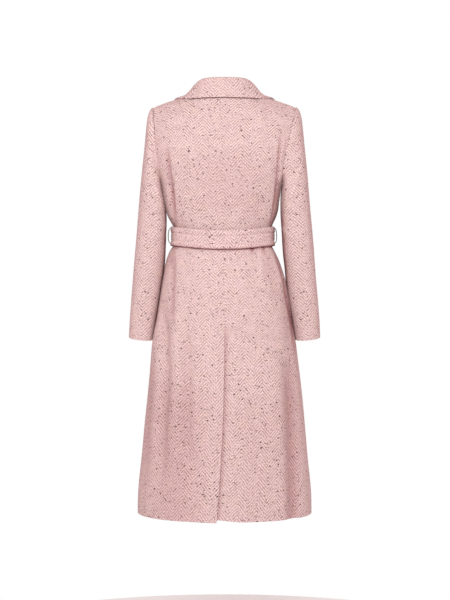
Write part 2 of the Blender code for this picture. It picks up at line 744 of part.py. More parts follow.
def belt_knot():
    """The knot: a soft lump with a band crossing it, drawn in at its two sides."""
    bm = bmesh.new()
    bmesh.ops.create_cube(bm, size=1.0)
    bmesh.ops.subdivide_edges(bm, edges=bm.edges[:], cuts=3, use_grid_fill=True)
    for v in bm.verts:
        x, y, z = v.co
        round_off = 1 - 0.55 * (x * x + z * z)
        v.co.x = x * 0.060 * (1 - 0.25 * abs(z) * 2 * abs(z))
        v.co.z = z * 0.056 * (1 + 0.10 * x)
        v.co.y = y * 0.030 * round_off if y < 0 else y * 0.010
    bmesh.ops.translate(bm, verts=bm.verts[:], vec=(KNOT_X, belt_front - 0.0062, KNOT_Z))
    mesh = bpy.data.meshes.new("belt_knot")
    bm.to_mesh(mesh)
    bm.free()
    mesh.shade_smooth()
    piece = bpy.data.objects.new("belt_knot", mesh)
    coat.objects.link(piece)
    piece.data.materials.append(wool_belt)


belt_knot()


def belt_end(name, x_top, x_low, long, lift):
    """One hanging end of the belt: a flat band from the knot down the skirt."""
    rows = []
    steps = 12
    for i in range(steps + 1):
        run = i / steps
        z = KNOT_Z - 0.0372 - long * run
        middle = x_top + (x_low - x_top) * run**0.8
        row = []
        for k in range(4):
            across = BELT_TALL * (0.5 - k / 3) * (0.62 + 0.38 * soft(run, 0.0, 0.20))
            settle = lift + 0.016 * (1 - soft(run, 0.0, 0.35))
            row.append(front_place(middle + across, z, settle))
        rows.append(row)
    wall(name, rows, wool_belt, thickness=BELT_WALL, flip=False)


belt_end("belt_end_left", KNOT_X + 0.016, 0.060, 0.330, 0.0050)
belt_end("belt_end_right", KNOT_X - 0.020, -0.030, 0.370, 0.0050)


# ---------------------------------------------------------------- thread belt loops
def belt_loop(name, side):
    """A thread loop at a side seam that holds the belt."""
    curve = bpy.data.curves.new(name, "CURVE")
    curve.dimensions = "3D"
    curve.bevel_depth = 0.0009
    curve.bevel_resolution = 1
    curve.use_fill_caps = True
    top, low = BELT_Z + 0.034, BELT_Z - 0.033
    upper = body_point(side, 1, top, math.pi / 2)
    lower = body_point(side, 1, low, math.pi / 2)
    outer = side * 0.1387 + 0.0065 + side * 0.0100
    line = [
        Vector((upper.x + side * 0.0015, 0.004, top)),
        Vector((outer - side * 0.0020, 0.004, top - 0.010)),
        Vector((outer, 0.004, BELT_Z)),
        Vector((outer - side * 0.0020, 0.004, low + 0.010)),
        Vector((lower.x + side * 0.0015, 0.004, low)),
    ]
    points = smooth_line(line, 10)
    spline = curve.splines.new("POLY")
    spline.points.add(len(points) - 1)
    for slot, point in zip(spline.points, points):
        slot.co = (*point, 1.0)
    piece = bpy.data.objects.new(name, curve)
    coat.objects.link(piece)
    curve.materials.append(thread)


belt_loop("belt_loop_left", 1)
belt_loop("belt_loop_right", -1)
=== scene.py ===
"""A belted wrap coat in pink herringbone wool, filled out with nobody in it."""
import math

import bpy
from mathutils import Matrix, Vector, noise
from mathutils.bvhtree import BVHTree


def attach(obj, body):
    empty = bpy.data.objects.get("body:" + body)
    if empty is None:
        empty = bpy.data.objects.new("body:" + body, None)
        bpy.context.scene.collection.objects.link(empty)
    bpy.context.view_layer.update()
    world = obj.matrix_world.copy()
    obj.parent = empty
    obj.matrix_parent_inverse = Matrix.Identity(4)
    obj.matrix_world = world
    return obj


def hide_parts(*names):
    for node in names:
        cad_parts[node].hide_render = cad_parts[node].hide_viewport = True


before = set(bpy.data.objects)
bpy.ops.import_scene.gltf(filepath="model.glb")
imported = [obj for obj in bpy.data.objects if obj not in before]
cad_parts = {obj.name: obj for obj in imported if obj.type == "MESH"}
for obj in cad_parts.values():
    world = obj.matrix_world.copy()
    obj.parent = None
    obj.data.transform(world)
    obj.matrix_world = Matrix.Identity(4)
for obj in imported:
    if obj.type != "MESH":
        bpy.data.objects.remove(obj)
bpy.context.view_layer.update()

# ---------------------------------------------------------------- the two halves of the back
# Heavy herringbone wool about 2.6 mm thick, cut in a left and a right half. They are sewn
# together down the middle, and below the vent's top the left half laps over the right one.
WALL = 0.0026
SEAM = 0.0002
HEM_Z = -1.120
CHEST_Z = -0.165
UNDERARM_Z = -0.250
NECK_HALF = 0.079
NECK_DEPTH = 0.062
NECK_DROP = 0.008
SHOULDER_X = 0.1905
SHOULDER_Z = -0.0385
BELT_Z = -0.383
BELT_DIP = 0.013
VENT_TOP = -0.6225
VENT_LAP = 0.045
ROW_STEP = 0.0062
LINE_STEPS = 120
WAIST_HALF = 0.137


def table(columns, rows):
    """Rows of sizes, each value under its column's name."""
    return [dict(zip(columns.split(), row)) for row in rows]


# Rings of the body: height, half width, depth of back and front, squareness, sideways shift.
RINGS = table("z half back front square shift", [
    (-1.1300, 0.2328, 0.172, 0.160, 2.10, 0.0000),
    (-1.0750, 0.2316, 0.168, 0.157, 2.10, 0.0000),
    (-0.9550, 0.2200, 0.159, 0.151, 2.12, 0.0000),
    (-0.8344, 0.2080, 0.151, 0.146, 2.15, 0.0000),
    (-0.7138, 0.1959, 0.143, 0.140, 2.20, 0.0003),
    (-0.6736, 0.1922, 0.140, 0.138, 2.20, 0.0005),
    (-0.6100, 0.1815, 0.136, 0.134, 2.22, 0.0010),
    (-0.5530, 0.1738, 0.130, 0.130, 2.25, 0.0000),
    (-0.4994, 0.1640, 0.122, 0.124, 2.25, 0.0018),
    (-0.4458, 0.1504, 0.111, 0.116, 2.25, 0.0050),
    (-0.4190, 0.1390, 0.103, 0.110, 2.25, 0.0062),
    (-0.4060, 0.1312, 0.098, 0.106, 2.25, 0.0052),
    (-0.3830, 0.1302, 0.097, 0.105, 2.25, 0.0046),
    (-0.3600, 0.1312, 0.098, 0.106, 2.25, 0.0047),
    (-0.3500, 0.1350, 0.100, 0.108, 2.28, 0.0056),
    (-0.3300, 0.1450, 0.104, 0.113, 2.35, 0.0064),
    (-0.3118, 0.1505, 0.106, 0.117, 2.40, 0.0068),
    (-0.2800, 0.1560, 0.109, 0.122, 2.55, 0.0082),
    (-0.2500, 0.1612, 0.111, 0.126, 2.70, 0.0078),
    (-0.2250, 0.1694, 0.112, 0.127, 2.80, 0.0060),
    (-0.1960, 0.1795, 0.112, 0.126, 2.90, 0.0045),
    (-0.1650, 0.1880, 0.111, 0.124, 3.00, 0.0035),
])

# Depth of each armhole behind and before the shoulder line.
ARMHOLE = {
    1: dict(back=0.060, front=0.058),
    -1: dict(back=0.077, front=0.050),
}

# The skirt's main folds, on both faces: a trough runs from one place to another down the cloth.
FOLDS = table("face x0 z0 x1 z1 wide deep", [
    (1, 0.160, -0.50, 0.168, -1.06, 0.016, 0.0060),
    (1, 0.098, -0.62, 0.095, -0.98, 0.014, 0.0040),
    (1, -0.160, -0.66, -0.178, -1.16, 0.020, 0.0075),
    (1, -0.075, -0.80, -0.082, -1.16, 0.022, 0.0030),
    (-1, 0.120, -0.48, 0.150, -1.10, 0.020, 0.0060),
    (-1, -0.095, -0.50, -0.125, -1.02, 0.018, 0.0050),
    (-1, -0.155, -0.60, -0.180, -1.16, 0.018, 0.0060),
])

# Small creases in the cloth, pressed in by wear and by the belt: a line of places, width, depth,
# and tone, the painted shade laid along each line; rows with no depth are painted shade alone.
CREASES_AND_PAINTED_SHADE = table("face wide deep tone line", [
    (1, 0.0064, 0.0074, 0.85,
     [(0.152, -0.160), (0.145, -0.215), (0.139, -0.264), (0.135, -0.300), (0.129, -0.350)]),
    (1, 0.004, 0.0012, 0.40, [(0.138, -0.245), (0.134, -0.300), (0.131, -0.345)]),
    (1, 0.007, 0.0018, 0.15, [(0.120, -0.300), (0.112, -0.345)]),
    (1, 0.0038, 0.0044, 1.00,
     [(-0.1465, -0.125), (-0.1435, -0.160), (-0.1410, -0.202), (-0.1380, -0.241),
      (-0.1340, -0.282), (-0.1285, -0.318), (-0.1220, -0.350)]),
    # a ridge beside the crease, whose negative tone takes away some of the painted shade
    (1, 0.006, -0.0028, -0.60, [(-0.157, -0.140), (-0.153, -0.200), (-0.150, -0.235)]),
    (1, 0.0085, 0.0014, 0.55, [(-0.144, -0.262), (-0.139, -0.300), (-0.130, -0.355)]),
    (1, 0.010, 0.0014, 0.15, [(-0.060, -0.28), (-0.052, -0.345)]),
    (1, 0.012, 0.0012, 0.20, [(-0.090, -0.29), (-0.082, -0.345)]),
    (1, 0.010, 0.0012, 0.10, [(0.060, -0.30), (0.052, -0.345)]),
    (1, 0.007, 0.0056, 0.70, [(0.134, -0.432), (0.135, -0.50), (0.137, -0.620)]),
    (1, 0.013, 0.0088, 0.22,
     [(0.160, -0.555), (0.152, -0.68), (0.149, -0.76), (0.158, -0.87), (0.163, -1.01)]),
    (1, 0.014, 0.0076, 0.18, [(0.097, -0.640), (0.096, -0.755), (0.097, -0.855), (0.088, -0.98)]),
    (1, 0.008, 0.0010, 0.35, [(0.187, -0.680), (0.196, -0.85), (0.206, -1.04)]),
    (1, 0.009, -0.0022, 0.0, [(-0.098, -0.43), (-0.096, -0.50)]),
    (1, 0.012, 0.0020, 0.15, [(-0.118, -0.44), (-0.135, -0.56)]),
    (1, 0.016, 0.0060, 0.22, [(-0.160, -0.520), (-0.170, -0.590), (-0.180, -0.690)]),
    # painted shadow along the right skirt's edge, where the sleeve hangs against it
    (1, 0.0046, 0.0036, 1.30,
     [(-0.133, -0.425), (-0.150, -0.480), (-0.162, -0.527),
      (-0.174, -0.579), (-0.183, -0.631), (-0.189, -0.700)]),
    (1, 0.017, 0.0112, 0.84, [(-0.170, -0.690), (-0.176, -0.85), (-0.180, -1.05), (-0.182, -1.25)]),
    # painted shade alone, with no depth: broad darker patches low on the skirt and on the upper back
    (1, 0.085, 0.0, 0.50, [(0.130, -0.740), (0.125, -1.250)]),
    (1, 0.090, 0.0, 0.22, [(-0.090, -0.780), (-0.100, -1.250)]),
    (1, 0.110, 0.0, 0.22, [(0.000, -0.170), (0.000, -0.345)]),
    # painted shadow in two small gaps under the belt's lower edge
    (1, 0.0050, 0.0006, 2.20, [(-0.0715, -0.395), (-0.0720, -0.412)]),
    (1, 0.0045, 0.0006, 1.70, [(-0.1010, -0.395), (-0.1020, -0.412)]),
    # painted shade along the left skirt's edge below the belt and beside the sleeve
    (1, 0.008, 0.0012, 0.55, [(0.132, -0.410), (0.143, -0.445), (0.152, -0.475)]),
    (1, 0.0045, 0.0010, 0.60, [(0.158, -0.470), (0.169, -0.527), (0.178, -0.579), (0.184, -0.640)]),
    (-1, 0.010, 0.0032, 0.30, [(0.125, -0.42), (0.118, -0.56)]),
    (-1, 0.008, 0.0022, 0.25, [(0.075, -0.42), (0.080, -0.52)]),
    (-1, 0.009, 0.0026, 0.25, [(-0.060, -0.42), (-0.070, -0.53)]),
    (-1, 0.011, 0.0034, 0.30, [(-0.118, -0.42), (-0.130, -0.60)]),
    (-1, 0.009, 0.0040, 0.50, [(0.135, -0.16), (0.128, -0.25), (0.118, -0.340)]),
    (-1, 0.009, 0.0036, 0.50, [(-0.130, -0.15), (-0.124, -0.25), (-0.112, -0.340)]),
    (-1, 0.009, 0.0022, 0.20, [(0.090, -0.27), (0.082, -0.345)]),
    (-1, 0.008, 0.0020, 0.20, [(-0.088, -0.28), (-0.080, -0.345)]),
])


def ring_at(z):
    """Sizes of the body's ring at a height, on a smooth curve through the table."""
    rows = RINGS
    if z <= rows[0]["z"]:
        return rows[0]
    if z >= rows[-1]["z"]:
        return rows[-1]
    i = max(k for k in range(len(rows) - 1) if rows[k]["z"] <= z)
    a, b = rows[i], rows[i + 1]
    before = rows[max(i - 1, 0)]
    after = rows[min(i + 2, len(rows) - 1)]
    span = b["z"] - a["z"]
    t = (z - a["z"]) / span
    out = {}
    for key in a:
        step = (b[key] - a[key]) / span
        m0 = step
        m1 = step
        if i > 0:
            left = (a[key] - before[key]) / (a["z"] - before["z"])
            m0 = 0.0 if left * step <= 0 else 2 * left * step / (left + step)
        if i + 2 < len(rows):
            right = (after[key] - b[key]) / (after["z"] - b["z"])
            m1 = 0.0 if right * step <= 0 else 2 * right * step / (right + step)
        out[key] = (
            (2 * t**3 - 3 * t**2 + 1) * a[key]
            + (t**3 - 2 * t**2 + t) * span * m0
            + (-2 * t**3 + 3 * t**2) * b[key]
            + (t**3 - t**2) * span * m1
        )
    return out


def soft(x, low, high):
    """A smooth step from 0 at low to 1 at high."""
    t = min(1.0, max(0.0, (x - low) / (high - low)))
    return t * t * (3 - 2 * t)


def bell(x, middle, wide):
    """1 at the middle, falling away softly to either side."""
    return math.exp(-((x - middle) / wide)**2)


def fold_depth(face, x, z):
    """How far the skirt's folds push the cloth in at a place."""
    depth = 0.0
    for fold in FOLDS:
        if fold["face"] != face:
            continue
        run = (z - fold["z0"]) / (fold["z1"] - fold["z0"])
        middle = fold["x0"] + (fold["x1"] - fold["x0"]) * min(1.2, max(-0.2, run))
        along = soft(run, -0.12, 0.22) * (1 - soft(run, 0.85, 1.15))
        across = (x - middle) / fold["wide"]
        depth += fold["deep"] * along * (bell(across, 0, 1) - 0.35 * bell(across, 0, 2.2))
    return depth


def crease_depth_and_painted_shade(face, x, z):
    """How far the small creases push the cloth in, and the painted shade along them."""
    depth, tone = 0.0, 0.0
    for crease in CREASES_AND_PAINTED_SHADE:
        if crease["face"] != face:
            continue
        line = crease["line"]
        low, high = line[-1][1], line[0][1]
        if not low - 0.05 < z < high + 0.05 or abs(x - line[0][0]) > 0.09 + 1.8 * crease["wide"]:
            continue
        middle = line[0][0]
        for (xa, za), (xb, zb) in zip(line, line[1:]):
            t = min(1.0, max(0.0, (z - za) / (zb - za)))
            middle += (xb - xa) * t
        long = high - low
        along = soft(z, low - 0.03, low + 0.30 * long)
        along *= 1 - soft(z, high - 0.20 * long, high + 0.03)
        across = (x - middle) / crease["wide"]
        depth += crease["deep"] * along * (bell(across, 0, 1) - 0.30 * bell(across, 0, 2.4))
        # painted shade: each crease's tone darkens the colour along it
        tone += crease["tone"] * along * bell(across, 0, 1)
    uneven = noise.noise(Vector((x * 11.0, z * 6.5, 3.1 * face)))
    fine = noise.noise(Vector((x * 31.0, z * 17.0, 9.4 + face)))
    return depth + 0.0013 * uneven + 0.0005 * fine, tone


def body_point(side, face, z, angle, out=0.0):
    """A point of the body's ring: angle 0 is the middle, 90 degrees the side seam."""
    dip = BELT_DIP if face > 0 else 0.5 * BELT_DIP
    near = bell(z, BELT_Z, 0.075)
    size = ring_at(z + dip * near * math.cos(angle)**2)
    power = 2.0 / size["square"]
    sx = math.copysign(abs(math.sin(angle))**power, math.sin(angle))
    cy = abs(math.cos(angle))**power
    depth = size["back"] if face > 0 else size["front"]
    x = side * size["half"] * sx
    y = face * depth * cy
    push = out - fold_depth(face, x, z)
    nx, ny = x / size["half"]**2, y / depth**2
    long = math.hypot(nx, ny) or 1.0
    return Vector((x + size["shift"] + push * nx / long, y + push * ny / long, z))


def angle_for_x(side, z, x):
    """The ring angle on one side at which the ring passes a sideways place."""
    size = ring_at(z)
    ratio = side * (x - size["shift"]) / size["half"]
    root = min(1.0, abs(ratio))**(size["square"] / 2.0)
    return math.copysign(math.asin(root), ratio)


def armhole_angle(side, face, z):
    """The side seam below the underarm, and the armhole's edge above it."""
    if z <= UNDERARM_Z:
        return math.pi / 2
    name = "back" if face > 0 else "front"
    size = ring_at(z)
    rise = (z - CHEST_Z) / (CHEST_Z - UNDERARM_Z)
    y = ARMHOLE[side][name] * math.sqrt(max(0.0, 1 - rise**2))
    return math.acos((y / size[name])**(size["square"] / 2.0))


def resample(points, shares):
    """Points at given shares of the way along a line of points."""
    total = [0.0]
    for a, b in zip(points, points[1:]):
        total.append(total[-1] + (b - a).length)
    result = []
    i = 0
    for share in shares:
        want = total[-1] * share
        while i < len(points) - 2 and total[i + 1] < want:
            i += 1
        part = (want - total[i]) / max(1e-12, total[i + 1] - total[i])
        result.append(points[i].lerp(points[i + 1], min(1.0, max(0.0, part))))
    return result


def close_steps(count, long):
    """Shares along an edge of a given length, closer together at the two ends."""
    marks = [0.0, 0.0016, 0.0036, 0.0066]
    inner = [k / count for k in range(count + 1)]
    low = [m / long for m in marks]
    shares = low + [s for s in inner if low[-1] + 0.006 < s < 1 - low[-1] - 0.006]
    shares += [1 - m for m in reversed(low)]
    return shares


def levels():
    """Heights of the rows from the hem to the chest, closer at the hem and at the belt."""
    marks = [HEM_Z, -1.085, -1.04, -0.99, -0.94, -0.89, -0.84, -0.79, -0.74, -0.69, -0.655]
    marks += [-0.637, VENT_TOP - 0.001, -0.608, -0.580, -0.545, -0.510, -0.475, -0.448, -0.430]
    marks += [-0.418, -0.406, -0.383, -0.361, -0.350, -0.338, -0.318, -0.295, -0.272]
    marks += [UNDERARM_Z, -0.2465, -0.2385, -0.2240, -0.2000, CHEST_Z]
    rows = []
    for a, b in zip(marks, marks[1:]):
        steps = math.ceil((b - a) / ROW_STEP)
        rows += [a + (b - a) * k / steps for k in range(steps)]
    return [HEM_Z, HEM_Z + 0.002] + rows[1:] + [CHEST_Z]


YOKE_ROWS = 26
SHOULDER_STEPS = 40


def back_middle_x(z):
    """The seam down the middle of the back, and the vent's edge below it."""
    if z > VENT_TOP:
        return 0.0105 * soft(z, VENT_TOP, -0.10)
    down = (VENT_TOP - z) / (VENT_TOP - HEM_Z)
    return 0.0205 * down**2.2


def shoulder_line(neck_end, tip, count):
    """The shoulder seam, a little raised towards the tip by the cloth's own stiffness."""
    line = []
    for k in range(count + 1):
        share = k / count
        point = neck_end.lerp(tip, share)
        point.z += 0.0014 * math.sin(math.pi * share**2.2)
        line.append(point)
    return line


def yoke(chest_row, top_row, roundness):
    """Rows from the chest up to the neck and shoulder seam, round like a quarter of an oval."""
    rows = []
    for step in range(1, YOKE_ROWS + 1):
        turn = math.radians(90.0 * step / YOKE_ROWS)
        s, c = math.sin(turn), math.cos(turn)
        row = []
        for low, top, q in zip(chest_row, top_row, roundness):
            forward = q * c + (1 - q) * (1 - s)
            row.append(Vector((
                low.x + (top.x - low.x) * s,
                top.y + (low.y - top.y) * forward,
                low.z + (top.z - low.z) * s,
            )))
        rows.append(row)
    return rows


def lengths(line):
    """How far along a line each of its points is."""
    total = [0.0]
    for a, b in zip(line, line[1:]):
        total.append(total[-1] + (b - a).length)
    return total


def grid_normals(rows, flip, closed=False):
    """Outward directions at every point of a grid."""
    normals = []
    last = len(rows) - 1
    for r, row in enumerate(rows):
        line = []
        wide = len(row)
        for i in range(wide):
            a = row[(i + 1) % wide if closed else min(i + 1, wide - 1)]
            b = row[(i - 1) % wide if closed else max(i - 1, 0)]
            up = rows[min(r + 1, last)][i] - rows[max(r - 1, 0)][i]
            out = (a - b).cross(up).normalized()
            line.append(-out if flip else out)
        normals.append(line)
    return normals


def add(name, data):
    """A new object in the scene."""
    piece = bpy.data.objects.new(name, data)
    bpy.context.scene.collection.objects.link(piece)
    return piece


def choose(*pieces):
    """Select these pieces and no others, and make the first one active."""
    bpy.ops.object.select_all(action="DESELECT")
    for piece in pieces:
        piece.select_set(True)
    if pieces:
        bpy.context.view_layer.objects.active = pieces[0]


SEAM_WIDE = 0.0026


def press(rows, flip, seams, depth):
    """The grid with its creases pressed in and its sewn edges drawn down, and the painted shade at
    each point.

    seams says for the first and last column and the first and last row how deep, or None.
    """
    normals = grid_normals(rows, flip)
    columns = [lengths([row[i] for row in rows]) for i in range(len(rows[0]))]
    result, painted_shades = [], []
    for r, (row, line) in enumerate(zip(rows, normals)):
        across = lengths(row)
        new, dark = [], []
        for i, (p, n) in enumerate(zip(row, line)):
            up = columns[i]
            far = [across[i], across[-1] - across[i], up[r], up[-1] - up[r]]
            sewn = [(f, drawn) for f, drawn in zip(far, seams) if drawn is not None]
            near = min((f for f, drawn in sewn), default=1.0)
            deep, tone = depth(p)
            push = deep * soft(near, 0.001, 0.014)
            push += max((drawn * bell(f, 0, SEAM_WIDE) for f, drawn in sewn), default=0.0)
            new.append(p - n * push)
            dark.append(tone)
        result.append(new)
        painted_shades.append(dark)
    return result, painted_shades


def cloth(name, rows, weave, flip, closed=False, thickness=WALL, soft_edge=0.0008,
          sewn=(), open_below=-9.0, painted_shades=None):
    """A sheet of wool through a grid of points, with its weave laid out flat in metres.

    sewn names the edges that meet another piece, which stay nearly square: first and last are
    columns, bottom and top are rows. The free ones are rounded, as is the first column below
    open_below.
    """
    wide = len(rows[0])
    across = wide if closed else wide - 1
    mesh = bpy.data.meshes.new(name)
    faces, flat = [], []
    for r in range(len(rows) - 1):
        for i in range(across):
            j = (i + 1) % wide
            quad = [(r, i), (r, j), (r + 1, j), (r + 1, i)]
            place = [(r, i), (r, i + 1), (r + 1, i + 1), (r + 1, i)]
            if flip:
                quad.reverse()
                place.reverse()
            faces.append([a * wide + b for a, b in quad])
            flat += [weave[a][b] for a, b in place]
    mesh.from_pydata([p for row in rows for p in row], [], faces)
    layer = mesh.uv_layers.new(name="Weave")
    for slot, uv in zip(layer.data, flat):
        slot.uv = uv
    # the painted shade of every point, read by the wool's material to darken its colour
    dark = mesh.attributes.new("PaintedShade", "FLOAT", "POINT")
    if painted_shades:
        dark.data.foreach_set("value", [tone for row in painted_shades for tone in row])
    piece = add(name, mesh)
    choose(piece)
    shell = piece.modifiers.new("Thickness", "SOLIDIFY")
    shell.thickness = thickness
    shell.offset = -1.0
    shell.use_even_offset = False
    bpy.ops.object.modifier_apply(modifier="Thickness")
    points = wide * len(rows)
    weights = mesh.attributes.new("bevel_weight_edge", "FLOAT", "EDGE")
    for edge in mesh.edges:
        (ra, ia), (rb, ib) = (divmod(v % points, wide) for v in edge.vertices)
        if (edge.vertices[0] < points) != (edge.vertices[1] < points):
            continue
        sides = []
        if not closed and ia == ib and ia in (0, wide - 1):
            sides.append("first" if ia == 0 else "last")
        if ra == rb and ra in (0, len(rows) - 1):
            sides.append("bottom" if ra == 0 else "top")
        low = mesh.vertices[edge.vertices[0]].co.z < open_below
        for edge_side in sides:
            held = edge_side in sewn and not (low and edge_side == "first")
            weights.data[edge.index].value = 0.2 if held else 1.0
    bevel = piece.modifiers.new("Soft edge", "BEVEL")
    bevel.width = soft_edge
    bevel.segments = 2
    bevel.limit_method = "WEIGHT"
    bpy.ops.object.modifier_apply(modifier="Soft edge")
    bpy.ops.object.shade_smooth_by_angle(angle=math.radians(55))
    choose()
    return piece


def back_panel(side):
    """Rows of one half of the back, from the middle seam or vent edge to the side, and its weave."""
    shares = close_steps(count=84, long=0.25)
    rows = []
    for z in levels():
        middle = back_middle_x(z)
        down = VENT_TOP - z
        if z <= VENT_TOP - 0.001 and side < 0:
            start = middle + VENT_LAP * soft(down, 0.0, 0.030) + 0.004
        else:
            start = middle + side * 0.5 * SEAM if z > VENT_TOP else middle
        begin = angle_for_x(side, z, start)
        end = armhole_angle(side, 1, z)
        line = []
        for k in range(LINE_STEPS + 1):
            angle = begin + (end - begin) * k / LINE_STEPS
            away = body_point(side, 1, z, angle).x - middle
            if side < 0:
                lap = -0.0042 * soft(down, -0.012, 0.030) * soft(away, -0.034, 0.002)
            else:
                lap = 0.0016 * soft(down, 0.0, 0.10) * (1 - soft(away, 0.0, 0.030))
            line.append(body_point(side, 1, z, angle, lap))
        long = lengths(line)[-1]
        row = resample(line, [s * (1 - 0.5 * SEAM / long) for s in shares])
        for p in row:
            near = 1 - soft(p.z, HEM_Z, HEM_Z + 0.09)
            near *= 1 - soft(abs(p.x - middle), 0.0, 0.075)
            p.z += (-0.0012 if side > 0 else 0.0052) * near
        rows.append(row)
    first = math.asin((back_middle_x(0.0) * side + 0.5 * SEAM) / NECK_HALF)
    neck = []
    neck_steps = 60
    for k in range(neck_steps + 1):
        x = side * NECK_HALF * math.sin(first + (math.pi / 2 - first) * k / neck_steps)
        y = NECK_DEPTH * math.sqrt(max(0.0, 1 - (x / NECK_HALF)**2))
        neck.append(Vector((x, y, -NECK_DROP + NECK_DROP * (x / NECK_HALF)**2)))
    neck[-1] = Vector((side * NECK_HALF, 0.5 * SEAM, 0.0))
    tip = Vector((side * SHOULDER_X, 0.5 * SEAM, SHOULDER_Z))
    inner = resample(neck, [min(1.0, 2 * s) for s in shares if s <= 0.5])
    shoulder = shoulder_line(neck[-1], tip, SHOULDER_STEPS)
    outer = resample(shoulder, [2 * s - 1 for s in shares if s > 0.5])
    marks = [0.50, 0.50, 0.52, 0.56, 0.64, 0.78, 0.90, 1.0]
    roundness = []
    for share in shares:
        place = min(share * 12, 6.999)
        low = int(place)
        roundness.append(marks[low] + (marks[low + 1] - marks[low]) * (place - low))
    rows += yoke(rows[-1], inner + outer, roundness)
    weave = lay_flat(rows, side, [row[0].x - back_middle_x(row[0].z) for row in rows])
    return rows, weave


def lay_flat(rows, side, starts):
    """The weave's place at every point: metres across from the grain line, and metres up."""
    middle = [row[len(row) // 3] for row in rows]
    up = [0.0]
    for a, b in zip(middle, middle[1:]):
        drawn = 1.06 - 0.105 * soft(a.z, -0.64, -0.78) - 0.05 * soft(a.z, -0.44, -0.36)
        up.append(up[-1] + (b - a).length * drawn)
    weave = []
    for r, (row, start) in enumerate(zip(rows, starts)):
        turned = soft(r, len(rows) - YOKE_ROWS, len(rows) - 1)
        across = abs(start) if start * side > 0 else -abs(start)
        line = [(side * across, up[r])]
        for a, b in zip(row, row[1:]):
            step = b - a
            step.y *= 1 - 0.85 * turned
            across += step.length
            line.append((side * across, up[r]))
        weave.append(line)
    return weave


def painted_belt_shadow(p, dip):
    """Painted shadow just under the belt, and a lighter painted shade just over it."""
    away = p.z - (BELT_Z - dip * max(0.0, 1 - (p.x / WAIST_HALF)**2))
    return 1.20 * bell(away, -0.0256, 0.0030) + 0.30 * bell(away, 0.0265, 0.0040)


def back_depth(p):
    """Depth of the back's creases, which stop short of the belt's pressure, and their painted shade
    with the painted shadow round the belt.
    """
    away = 1 - bell(p.z - BELT_Z, -0.008, 0.030)
    deep, tone = crease_depth_and_painted_shade(1, p.x, p.z)
    return deep * away, tone + painted_belt_shadow(p, BELT_DIP)


def material(name, roughness):
    """A new material, its nodes and its main shader."""
    mat = bpy.data.materials.new(name)
    mat.use_nodes = True
    shader = mat.node_tree.nodes["Principled BSDF"]
    shader.inputs["Roughness"].default_value = roughness
    return mat, mat.node_tree, shader


def mix(tree, share, a, b, blend="MIX"):
    """A colour between two others, or their product, each a colour or what a node gives."""
    node = tree.nodes.new("ShaderNodeMix")
    node.data_type = "RGBA"
    node.blend_type = blend
    for slot, value in ((0, share), (6, a), (7, b)):
        if isinstance(value, tuple):
            node.inputs[slot].default_value = (*value, 1.0)
        elif isinstance(value, (int, float)):
            node.inputs[slot].default_value = value
        else:
            tree.links.new(value, node.inputs[slot])
    return node.outputs[2]


COLUMN_WIDE = 0.0246
LINES_APART = 0.0089


